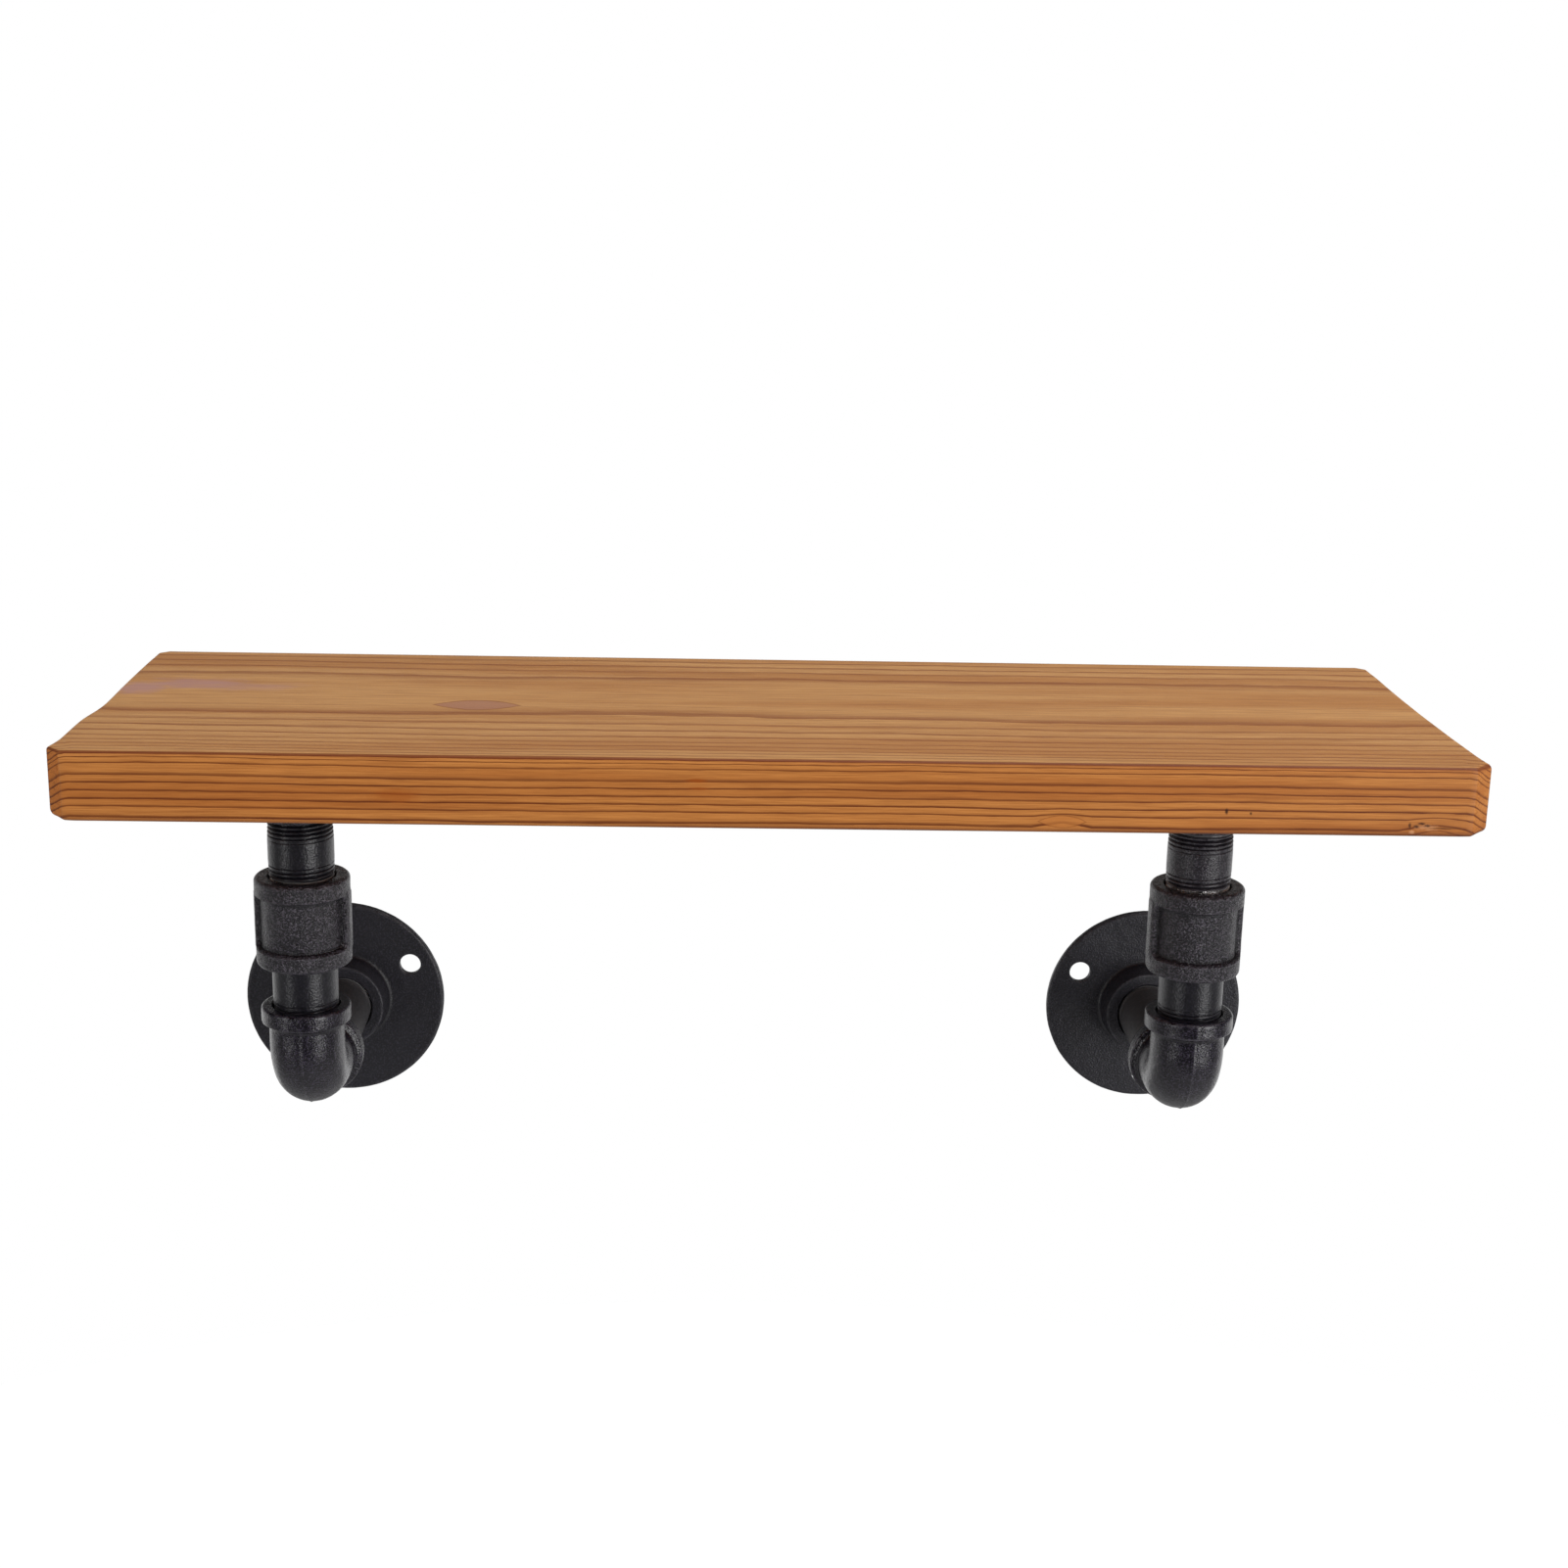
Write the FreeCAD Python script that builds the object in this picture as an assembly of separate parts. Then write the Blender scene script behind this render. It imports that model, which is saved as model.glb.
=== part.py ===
"""Wall shelf: one loose pine board resting on two brackets of 3/4 inch threaded pipe fittings.

Frame: +Z up, the wall is the plane y = 0 and the shelf stands out from it towards -Y.
The origin is on the wall, midway between the two flange centres. Everything is in millimetres.

Each bracket, from the wall outwards: flange, arm nipple, elbow, lower nipple, coupling, upper nipple, cap.
"""

import FreeCAD, Part

import math
import os

from FreeCAD import Placement, Rotation, Vector

# ---------------------------------------------------------------- driving dimensions

# Board
BOARD_LENGTH = 541.0
BOARD_DEPTH = 184.0
BOARD_THICKNESS = 27.0
BOARD_OFFSET_X = 6.9        # the loose board lies a little to the right of the brackets' middle
BOARD_FRONT_CORNER = 7.0    # flat planed off each upright corner, larger at the front
BOARD_BACK_CORNER = 4.0
BOARD_EDGE = 1.5            # rounding of the top and bottom arrises

# Where the brackets stand
BRACKET_SPACING = 371.0     # flange centre to flange centre
POST_REACH = 100.0          # wall to the upright post's axis

# Pipe and its taper thread, 14 turns to the inch
PIPE_RADIUS = 26.9 / 2
PIPE_BORE_RADIUS = 21.7 / 2
THREAD_PITCH = 25.4 / 14
THREAD_DEPTH = 1.16
THREAD_LENGTH = 17.4
THREAD_TAPER = 1 / 32       # change of radius along the thread, the standard 1 in 16 on diameter
THREAD_ROOT_FLAT = 0.2
THREAD_FADE_TURNS = 3.0     # the last turns run out to nothing
THREAD_CLEARANCE = 0.05     # radial gap between a nipple's thread and the fitting's
FLANK_SLOPE = math.tan(math.radians(30))

# Nipples: standard lengths
SHORT_NIPPLE = 50.8
ARM_NIPPLE = 76.2

# Fittings
FITTING_CORE_RADIUS = 11.3  # bore between the threads
MOUTH_RADIUS = 14.4         # countersink at each threaded mouth

FLANGE_RADIUS = 45.3
FLANGE_PLATE = 4.0
FLANGE_HEIGHT = 16.0
FLANGE_HUB_RADIUS = 19.2
FLANGE_HUB_FOOT = 22.6
FLANGE_HOLE_RADIUS = 4.8
FLANGE_HOLE_CIRCLE = 34.4   # radius of the circle of screw holes
FLANGE_HOLE_ANGLES = (30, 150, 270)

ELBOW_REACH = 33.3          # centre to end
ELBOW_BEND_RADIUS = 16.7
ELBOW_RADIUS = 15.6
ELBOW_BAND_RADIUS = 18.6
ELBOW_BAND = 7.0

COUPLING_LENGTH = 37.8
COUPLING_RADIUS = 17.3
COUPLING_BAND_RADIUS = 19.7
COUPLING_BAND = 7.4
COUPLING_RIB_REACH = 20.1
COUPLING_RIB_WIDTH = 8.6

CAP_HEIGHT = 19.6
CAP_RADIUS = 16.1
CAP_TOP_RADIUS = 15.7
CAP_BAND_RADIUS = 18.6
CAP_BAND = 6.2
CAP_TOP_ROUND = 2.6
CAP_RIB_REACH = 17.9
CAP_RIB_WIDTH = 5.6
CAP_INSIDE = 15.6           # depth of the hollow, which leaves a 4 mm crown

# Pipe left showing between fittings
LOWER_PIPE_SHOWING = 18.2
UPPER_PIPE_SHOWING = 25.6

# Heights up the post, from the arm's axis at z = 0
COUPLING_BASE = ELBOW_REACH + LOWER_PIPE_SHOWING
COUPLING_TOP = COUPLING_BASE + COUPLING_LENGTH
CAP_BASE = COUPLING_TOP + UPPER_PIPE_SHOWING
SEAT_HEIGHT = CAP_BASE + CAP_HEIGHT

# How deep each nipple end is screwed into its fitting
ARM_PIPE_SHOWING = POST_REACH - ELBOW_REACH - FLANGE_HEIGHT
ARM_BITE = (ARM_NIPPLE - ARM_PIPE_SHOWING) / 2
ELBOW_BITE = 15.2
COUPLING_LOWER_BITE = SHORT_NIPPLE - LOWER_PIPE_SHOWING - ELBOW_BITE
CAP_BITE = 10.4             # only hand-tight, so three turns of thread show below the cap
COUPLING_UPPER_BITE = SHORT_NIPPLE - UPPER_PIPE_SHOWING - CAP_BITE

# The two brackets: name, place along the wall, how far the flange is turned about the arm, and which
# way the ribs of the cap and of the coupling happen to point after tightening, about the post from +X
BRACKETS = (
    ("left", -BRACKET_SPACING / 2, -1.3, -81.0, -4.0),
    ("right", BRACKET_SPACING / 2, 2.5, -16.0, 5.0),
)

UP = Vector(0, 0, 1)
ORIGIN = Vector(0, 0, 0)


# ---------------------------------------------------------------- helpers

def turned(corners):
    """A solid turned about Z from an outline of (radius, height, rounding) corners."""
    count = len(corners)
    points = [Vector(radius, 0, height) for radius, height, _ in corners]
    starts, ends, arcs = [], [], []
    for i, (_, _, rounding) in enumerate(corners):
        here, before, after = points[i], points[i - 1], points[(i + 1) % count]
        inward, outward = (before - here).normalize(), (after - here).normalize()
        if rounding == 0:
            starts.append(here)
            ends.append(here)
            arcs.append(None)
            continue
        half = inward.getAngle(outward) / 2
        setback = rounding / math.tan(half)
        middle = (inward + outward).normalize()
        centre = here + middle * (rounding / math.sin(half))
        starts.append(here + inward * setback)
        ends.append(here + outward * setback)
        arcs.append(Part.Arc(starts[-1], centre - middle * rounding, ends[-1]))
    edges = []
    for i in range(count):
        if arcs[i]:
            edges.append(arcs[i].toShape())
        start, end = ends[i], starts[(i + 1) % count]
        if start.distanceToPoint(end) > 1e-6:
            edges.append(Part.makeLine(start, end))
    return Part.Face(Part.Wire(edges)).revolve(ORIGIN, UP, 360)


def square(outline):
    """The same corners with no rounding."""
    return [(radius, height, 0) for radius, height in outline]


def crest_radius(depth):
    """Radius of the thread's crests at a distance from the nipple's end."""
    return PIPE_RADIUS - max(0.0, THREAD_LENGTH - depth) * THREAD_TAPER


def thread_outline(reach):
    """(radius, distance from the nipple's end) along the thread, one groove for each turn within reach."""
    outline = []
    for turn in range(int(THREAD_LENGTH / THREAD_PITCH)):
        middle = (turn + 0.5) * THREAD_PITCH
        fade = (THREAD_LENGTH - middle) / (THREAD_FADE_TURNS * THREAD_PITCH)
        depth = THREAD_DEPTH * min(1.0, fade)
        half = depth * FLANK_SLOPE + THREAD_ROOT_FLAT / 2
        if middle + half > reach:
            break
        root = crest_radius(middle) - depth
        outline += [
            (crest_radius(middle - half), middle - half),
            (root, middle - THREAD_ROOT_FLAT / 2),
            (root, middle + THREAD_ROOT_FLAT / 2),
            (crest_radius(middle + half), middle + half),
        ]
    return outline


def nipple(length):
    """A short pipe with a taper thread on each end, standing on z = 0."""
    thread = thread_outline(THREAD_LENGTH)
    lower = [(crest_radius(0), 0)] + thread + [(PIPE_RADIUS, THREAD_LENGTH)]
    upper = [(radius, length - height) for radius, height in reversed(lower)]
    bore = [(PIPE_BORE_RADIUS, length), (PIPE_BORE_RADIUS, 0)]
    return turned(square(lower + upper + bore))


def tap(bite, relief):
    """The tool that cuts a threaded socket, from its mouth at z = 0 down past the nipple's end."""
    end = -bite
    outline = [(0, end - relief), (FITTING_CORE_RADIUS, end - relief)]
    outline.append((crest_radius(0) + THREAD_CLEARANCE, end - min(relief, 1.0)))
    outline += [
        (radius + THREAD_CLEARANCE, end + height)
        for radius, height in thread_outline(bite - THREAD_PITCH / 2)
    ]
    lead_in = MOUTH_RADIUS - crest_radius(bite) - THREAD_CLEARANCE
    outline.append((crest_radius(bite) + THREAD_CLEARANCE, -lead_in))
    outline += [(MOUTH_RADIUS, 0), (MOUTH_RADIUS, 1), (0, 1)]
    return turned(square(outline))


def flipped(shape, height):
    """The shape upside down, with its z = 0 at that height."""
    return shape.transformed(Placement(Vector(0, 0, height), Rotation(Vector(1, 0, 0), 180)).toMatrix())


def rib(outline, width):
    """An upright rib: an outline of (radius, height) in the XZ plane, given its width across Y."""
    points = [Vector(radius, -width / 2, height) for radius, height in outline]
    return Part.Face(Part.makePolygon(points + points[:1])).extrude(Vector(0, width, 0))


def with_ribs(body, outline, width, angle):
    """The body with two opposite ribs, the first at that angle about Z."""
    for turn in (angle, angle + 180):
        one = rib(outline, width)
        one.rotate(ORIGIN, UP, turn)
        body = body.fuse(one)
    return body.removeSplitter()


def on_post(shape, x, z):
    """A shape modelled about Z, moved to a height on the bracket's post."""
    return shape.translated(Vector(x, -POST_REACH, z))


def on_arm(shape, x, distance):
    """A shape modelled about Z, laid along the arm with its z = 0 at a distance from the wall."""
    lay_down = Rotation(Vector(1, 0, 0), 90)
    return shape.transformed(Placement(Vector(x, -distance, 0), lay_down).toMatrix())


# ---------------------------------------------------------------- sub-parts

def board():
    """The plank: each upright corner planed off at 45 degrees and every other edge eased."""
    left = BOARD_OFFSET_X - BOARD_LENGTH / 2
    plank = Part.makeBox(
        BOARD_LENGTH, BOARD_DEPTH, BOARD_THICKNESS, Vector(left, -BOARD_DEPTH, SEAT_HEIGHT)
    )
    for at_front, corner in ((True, BOARD_FRONT_CORNER), (False, BOARD_BACK_CORNER)):
        upright = [
            e for e in plank.Edges
            if e.BoundBox.ZLength > BOARD_THICKNESS / 2 and (e.CenterOfMass.y < -BOARD_DEPTH / 2) == at_front
        ]
        plank = plank.makeChamfer(corner, upright)
    level = [e for e in plank.Edges if e.BoundBox.ZLength < BOARD_THICKNESS / 2]
    return plank.makeFillet(BOARD_EDGE, level)


def flange(turn):
    """Round plate with three screw holes and a threaded hub, its back on z = 0, turned about Z."""
    body = turned([
        (0, 0, 0),
        (FLANGE_RADIUS, 0, 0.5),
        (FLANGE_RADIUS, FLANGE_PLATE, 1.4),
        (FLANGE_HUB_FOOT + 4, FLANGE_PLATE + 0.6, 6.0),
        (FLANGE_HUB_FOOT, FLANGE_PLATE + 3.0, 1.5),
        (FLANGE_HUB_RADIUS + 0.6, FLANGE_PLATE + 3.8, 0.8),
        (FLANGE_HUB_RADIUS, FLANGE_HEIGHT, 1.2),
        (0, FLANGE_HEIGHT, 0),
    ])
    for angle in FLANGE_HOLE_ANGLES:
        place = Rotation(UP, angle + turn).multVec(Vector(FLANGE_HOLE_CIRCLE, 0, -1))
        body = body.cut(Part.makeCylinder(FLANGE_HOLE_RADIUS, FLANGE_PLATE + 3, place))
    body = body.cut(Part.makeCylinder(FITTING_CORE_RADIUS, FLANGE_HEIGHT + 2, Vector(0, 0, -1)))
    socket = tap(ARM_BITE, 1.5).translated(Vector(0, 0, FLANGE_HEIGHT))
    return body.cut(socket)


def elbow_leg():
    """One straight leg of the elbow about Z, from the bend up to its banded end."""
    band_foot = ELBOW_REACH - ELBOW_BAND
    return turned([
        (0, ELBOW_BEND_RADIUS, 0),
        (ELBOW_RADIUS, ELBOW_BEND_RADIUS, 0),
        (ELBOW_RADIUS, band_foot - 1.2, 2.0),
        (ELBOW_BAND_RADIUS, band_foot, 0.9),
        (ELBOW_BAND_RADIUS, ELBOW_REACH, 1.4),
        (0, ELBOW_REACH, 0),
    ])


def quarter_bend(radius):
    """A round bar of that radius, bent from the upright leg to the level one."""
    ring = Part.Wire(Part.makeCircle(radius, Vector(0, 0, ELBOW_BEND_RADIUS), UP))
    pivot = Vector(0, ELBOW_BEND_RADIUS, ELBOW_BEND_RADIUS)
    return Part.Face(ring).revolve(pivot, Vector(1, 0, 0), 90)


def elbow():
    """Banded elbow about its own centre: one leg up, the other back towards the wall."""
    lay_back = Rotation(Vector(1, 0, 0), -90)
    outside = quarter_bend(ELBOW_RADIUS)
    hollow = quarter_bend(FITTING_CORE_RADIUS)
    for turn, bite in ((Rotation(), ELBOW_BITE), (lay_back, ARM_BITE)):
        place = Placement(ORIGIN, turn).toMatrix()
        core = Part.makeCylinder(
            FITTING_CORE_RADIUS, ELBOW_REACH - ELBOW_BEND_RADIUS, Vector(0, 0, ELBOW_BEND_RADIUS)
        )
        socket = tap(bite, 0.8).translated(Vector(0, 0, ELBOW_REACH))
        outside = outside.fuse(elbow_leg().transformed(place))
        hollow = hollow.fuse(core.transformed(place)).fuse(socket.transformed(place))
    return outside.cut(hollow).removeSplitter()


def coupling(rib_angle):
    """Straight banded coupling standing on z = 0, threaded from both ends, with two cast ribs."""
    upper_band = COUPLING_LENGTH - COUPLING_BAND
    body = turned([
        (0, 0, 0),
        (COUPLING_BAND_RADIUS, 0, 1.8),
        (COUPLING_BAND_RADIUS, COUPLING_BAND, 0.9),
        (COUPLING_RADIUS, COUPLING_BAND + 1.0, 1.2),
        (COUPLING_RADIUS, upper_band - 1.0, 1.2),
        (COUPLING_BAND_RADIUS, upper_band, 0.9),
        (COUPLING_BAND_RADIUS, COUPLING_LENGTH, 1.8),
        (0, COUPLING_LENGTH, 0),
    ])
    outline = [
        (COUPLING_RADIUS - 2, 4),
        (COUPLING_BAND_RADIUS - 0.4, 4),
        (COUPLING_RIB_REACH, COUPLING_BAND + 1),
        (COUPLING_RIB_REACH, upper_band - 1),
        (COUPLING_BAND_RADIUS - 0.4, COUPLING_LENGTH - 4),
        (COUPLING_RADIUS - 2, COUPLING_LENGTH - 4),
    ]
    body = with_ribs(body, outline, COUPLING_RIB_WIDTH, rib_angle)
    body = body.cut(Part.makeCylinder(FITTING_CORE_RADIUS, COUPLING_LENGTH))
    body = body.cut(tap(COUPLING_UPPER_BITE, 1.5).translated(Vector(0, 0, COUPLING_LENGTH)))
    return body.cut(flipped(tap(COUPLING_LOWER_BITE, 1.5), 0))


def cap(rib_angle):
    """Closed cap, mouth down on z = 0, with two cast ribs and the flat top that the board rests on."""
    body = turned([
        (0, 0, 0),
        (CAP_BAND_RADIUS, 0, 1.2),
        (CAP_BAND_RADIUS, CAP_BAND, 0.9),
        (CAP_RADIUS, CAP_BAND + 0.8, 1.0),
        (CAP_TOP_RADIUS, CAP_HEIGHT, CAP_TOP_ROUND),
        (0, CAP_HEIGHT, 0),
    ])
    outline = [
        (CAP_TOP_RADIUS - 4, CAP_BAND - 2),
        (CAP_RIB_REACH, CAP_BAND - 2),
        (CAP_RIB_REACH - 0.3, CAP_HEIGHT - 2.6),
        (CAP_TOP_RADIUS - 0.6, CAP_HEIGHT - 0.5),
        (CAP_TOP_RADIUS - 4, CAP_HEIGHT - 0.5),
    ]
    body = with_ribs(body, outline, CAP_RIB_WIDTH, rib_angle)
    body = body.cut(Part.makeCylinder(FITTING_CORE_RADIUS, CAP_INSIDE))
    return body.cut(flipped(tap(CAP_BITE, 1.5), 0))


def bracket(side, x, flange_turn, cap_rib_angle, coupling_rib_angle):
    """Every piece of one bracket in its place, by name."""
    lower_foot = ELBOW_REACH - ELBOW_BITE
    upper_foot = COUPLING_TOP - COUPLING_UPPER_BITE
    return {
        f"{side}_wall_flange": on_arm(flange(flange_turn), x, 0),
        f"{side}_arm_nipple": on_arm(nipple(ARM_NIPPLE), x, FLANGE_HEIGHT - ARM_BITE),
        f"{side}_elbow": on_post(elbow(), x, 0),
        f"{side}_lower_nipple": on_post(nipple(SHORT_NIPPLE), x, lower_foot),
        f"{side}_coupling": on_post(coupling(coupling_rib_angle), x, COUPLING_BASE),
        f"{side}_upper_nipple": on_post(nipple(SHORT_NIPPLE), x, upper_foot),
        f"{side}_cap": on_post(cap(cap_rib_angle), x, CAP_BASE),
    }


# ---------------------------------------------------------------- write the files

os.makedirs("parts", exist_ok=True)
pieces = {"shelf_board": board()}
for row in BRACKETS:
    pieces.update(bracket(*row))
for name, shape in pieces.items():
    shape.exportStep(f"parts/{name}.step")
    box = shape.optimalBoundingBox()
    low = f"({box.XMin:.1f}, {box.YMin:.1f}, {box.ZMin:.1f})"
    high = f"({box.XMax:.1f}, {box.YMax:.1f}, {box.ZMax:.1f})"
    print(f"{name:20s} valid {shape.isValid()}  {shape.Volume / 1000:8.2f} cm3  from {low} to {high}")
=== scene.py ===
# %% [markdown]
# # A pipe shelf
# A pine board lies loose on two wall brackets, and each bracket is put together from black threaded
# pipe fittings: a flange on the wall, a short pipe out from it, an elbow, and a post with a coupling
# and a cap. The solid model is loaded first, as a frame that says where everything is. Each piece
# below is then built again with the detail of the real one and takes the solid's place.

import math

import bpy
import numpy as np
from mathutils import Matrix, Vector


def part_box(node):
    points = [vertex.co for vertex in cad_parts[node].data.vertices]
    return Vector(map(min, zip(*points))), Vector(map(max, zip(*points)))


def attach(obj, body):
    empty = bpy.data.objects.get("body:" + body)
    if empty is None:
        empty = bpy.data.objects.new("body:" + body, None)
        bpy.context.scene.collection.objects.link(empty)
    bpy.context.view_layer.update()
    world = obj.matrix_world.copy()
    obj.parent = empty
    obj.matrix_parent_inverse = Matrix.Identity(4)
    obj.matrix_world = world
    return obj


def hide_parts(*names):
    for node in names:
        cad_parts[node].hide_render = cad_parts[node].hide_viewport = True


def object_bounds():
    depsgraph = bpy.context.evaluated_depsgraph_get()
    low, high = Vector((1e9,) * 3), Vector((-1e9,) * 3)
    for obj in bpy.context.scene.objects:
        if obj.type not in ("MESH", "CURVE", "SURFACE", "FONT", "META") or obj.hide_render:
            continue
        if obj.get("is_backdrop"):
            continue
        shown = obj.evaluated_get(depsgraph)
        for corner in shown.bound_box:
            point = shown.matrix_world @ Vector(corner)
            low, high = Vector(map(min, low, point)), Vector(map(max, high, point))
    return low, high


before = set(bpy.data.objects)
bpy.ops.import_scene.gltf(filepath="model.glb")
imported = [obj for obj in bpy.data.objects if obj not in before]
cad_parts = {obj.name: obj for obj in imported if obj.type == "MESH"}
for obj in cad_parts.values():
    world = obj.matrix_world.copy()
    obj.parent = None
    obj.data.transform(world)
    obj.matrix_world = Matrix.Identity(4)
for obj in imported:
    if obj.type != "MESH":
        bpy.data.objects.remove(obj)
cad_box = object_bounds()
MM = 0.001  # the frame is in metres, and sizes below are easier to read in millimetres

# %% [markdown]
# ## Camera
# A camera is an object that looks down its own -Z axis with +Y up. Three plain turns place it: roll
# about the line of sight, then tip up from straight down to nearly level, then swing about the
# vertical. A long lens from a metre away keeps the board's edges nearly parallel.

# %% Place the camera
def add_object(name, data):
    """A new object in the scene that shows some data."""
    made = bpy.data.objects.new(name, data)
    bpy.context.scene.collection.objects.link(made)
    return made


CAMERA_PLACE = Vector((-0.0174, -1.0015, 0.3675))
CAMERA_SWING = math.radians(1.88)   # to the right of straight at the wall
CAMERA_TIP = math.radians(14.75)    # below level
CAMERA_ROLL = math.radians(1.18)    # leaning to the left
SENSOR_WIDTH = 36.0
LENS = 52.27

camera_data = bpy.data.cameras.new("camera")
camera_data.sensor_width = SENSOR_WIDTH
camera_data.lens = LENS
camera = add_object("camera", camera_data)
camera.matrix_world = (
    Matrix.Translation(CAMERA_PLACE)
    @ Matrix.Rotation(-CAMERA_SWING, 4, "Z")
    @ Matrix.Rotation(math.pi / 2 - CAMERA_TIP, 4, "X")
    @ Matrix.Rotation(CAMERA_ROLL, 4, "Z")
)
bpy.context.scene.camera = camera
bpy.context.scene.view_settings.view_transform = "Standard"
print("camera stands", round((CAMERA_PLACE - Vector((0, -0.1, 0.1))).length, 3), "m from the post")

# %% [markdown]
# ## Building materials from nodes
# A material is a graph of nodes. One small helper adds a node, sets its options and wires its inputs,
# so that each finish below reads as a list of steps. An input given as another node's output is
# linked, and anything else is written on the socket. The others each stand for one kind of node. They
# aren't told which tree to build in, because a socket knows the tree that it belongs to.

# %% Helpers for nodes
def node(tree, kind, inputs=None, **options):
    """Adds a node to a tree. inputs maps a socket's name or number to a value or to an output."""
    made = tree.nodes.new(kind)
    for name, value in options.items():
        setattr(made, name, value)
    for name, value in (inputs or {}).items():
        if isinstance(value, bpy.types.NodeSocket):
            tree.links.new(value, made.inputs[name])
        else:
            made.inputs[name].default_value = value
    return made


def tree_of(values):
    """The tree of the first value that is a socket."""
    return next(value.id_data for value in values if isinstance(value, bpy.types.NodeSocket))


def maths(operation, *values, **options):
    """The output of a Math node, in a shader tree or a geometry tree."""
    inputs = dict(enumerate(values))
    return node(tree_of(values), "ShaderNodeMath", inputs, operation=operation, **options).outputs[0]


def vector_maths(operation, *values, output="Vector"):
    """An output of a Vector Math node."""
    inputs = dict(enumerate(values))
    return node(tree_of(values), "ShaderNodeVectorMath", inputs, operation=operation).outputs[output]


def scaled(vector, factor):
    """A vector times one number."""
    inputs = {0: vector, "Scale": factor}
    return node(vector.id_data, "ShaderNodeVectorMath", inputs, operation="SCALE").outputs[0]


def parts_of(vector):
    """The X, Y and Z of a vector."""
    return node(vector.id_data, "ShaderNodeSeparateXYZ", {0: vector}).outputs


def ramp(value, *stops):
    """A Color Ramp from a value. Its stops are (position, grey), with soft steps between them."""
    made = node(value.id_data, "ShaderNodeValToRGB", {0: value})
    made.color_ramp.interpolation = "EASE"
    elements = made.color_ramp.elements
    while len(elements) < len(stops):
        elements.new(0.5)
    for element, (place, grey) in zip(elements, stops):
        element.position = place
        element.color = (grey, grey, grey, 1)
    return made.outputs[0]


def mix(share, first, second, blend="MIX"):
    """The colour output of a Mix node. A plain colour is (red, green, blue)."""
    first, second = ((*c, 1) if isinstance(c, tuple) else c for c in (first, second))
    return node(
        tree_of((share, first, second)), "ShaderNodeMix", {0: share, 6: first, 7: second},
        data_type="RGBA", blend_type=blend, clamp_factor=True,
    ).outputs[2]


def srgb(*screen):
    """A screen colour, 0 to 255, as the linear numbers that Blender's sockets hold."""
    shares = [value / 255 for value in screen]
    return tuple(c / 12.92 if c <= 0.04045 else ((c + 0.055) / 1.055) ** 2.4 for c in shares)


# %% [markdown]
# ## Studio
# Black paint shows its shape only by what it mirrors. So two tall softboxes stand at the sides, a
# wide strong one to the right and a narrow weak one to the left, and each draws one upright streak on
# every pipe. A large lamp overhead lights the board. The room is white behind the shelf, grey at the
# sides and dark behind the camera. The camera and mirrored rays see it at full strength, which gives
# black paint its pale outline. The white ends not far above the shelf, or the board's top, which
# mirrors the room at a low angle, would look as if it were under milk.

# %% Softboxes
POST_MIDDLE = Vector((0, -0.1, 0.05))


def softbox(name, place, width, height, watts):
    """A rectangular lamp that faces the middle of the shelf."""
    lamp = bpy.data.lights.new(name, "AREA")
    lamp.shape = "RECTANGLE"
    lamp.size = width
    lamp.size_y = height
    lamp.energy = watts
    made = add_object(name, lamp)
    made.location = place
    made.rotation_euler = (POST_MIDDLE - Vector(place)).to_track_quat("-Z", "Y").to_euler()


def beside(angle, distance, height):
    """A place round the shelf: 0 degrees is straight in front of it and 90 to its right."""
    turn = math.radians(angle)
    return (distance * math.sin(turn), POST_MIDDLE.y - distance * math.cos(turn), height)


softbox("right softbox", beside(43, distance=3.2, height=0.3), width=1.45, height=3.2, watts=72)
softbox("left softbox", beside(-50, distance=3.2, height=0.3), width=0.58, height=3.2, watts=25)
softbox("overhead softbox", (0.9, -0.5, 2.2), width=2.4, height=1.8, watts=44)

# %% Room
ROOM_LIGHT = 0.24    # how much the room itself lights the shelf
ROOM_FRONT = 0.05    # what mirrored rays see behind the camera
ROOM_SIDE = 0.22     # and level with the shelf, to either side
ROOM_ABOVE = 0.08    # the share of it that is left above the white backdrop
FLOOR_HEIGHT = -1.2
FLOOR_RADIUS = 2.0
FLOOR_SIDES = 96

WHITE = (1, 1, 1, 1)


def clean_tree(owner):
    """The tree of a material or a world, emptied."""
    owner.use_nodes = True
    owner.node_tree.nodes.clear()
    return owner.node_tree


def light_rays(tree):
    """What a ray has done on its way, and 1 where the camera sees the surface."""
    rays = node(tree, "ShaderNodeLightPath").outputs
    return rays, maths("MAXIMUM", rays["Is Camera Ray"], rays["Is Transmission Ray"])


world = bpy.data.worlds.new("studio")
bpy.context.scene.world = world
tree = clean_tree(world)
rays, seen = light_rays(tree)
direction = parts_of(node(tree, "ShaderNodeTexCoord").outputs["Generated"])
to_wall = ramp(
    maths("MULTIPLY_ADD", direction["Y"], 0.5, 0.5),
    (0.15, ROOM_FRONT), (0.50, ROOM_SIDE), (0.80, 1.0),
)
upward = ramp(maths("MULTIPLY_ADD", direction["Z"], 0.5, 0.5), (0.47, 1.0), (0.60, ROOM_ABOVE))
mirrored = mix(1.0, to_wall, upward, blend="MULTIPLY")
lighting_room, mirrored_room, white_room = (
    node(tree, "ShaderNodeBackground", {"Color": colour, "Strength": strength}).outputs[0]
    for colour, strength in ((WHITE, ROOM_LIGHT), (mirrored, 1.0), (WHITE, 1.0))
)
room = node(tree, "ShaderNodeMixShader", {
    0: rays["Is Glossy Ray"], 1: lighting_room, 2: mirrored_room,
}).outputs[0]
room = node(tree, "ShaderNodeMixShader", {0: seen, 1: room, 2: white_room}).outputs[0]
node(tree, "ShaderNodeOutputWorld", {"Surface": room})

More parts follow.
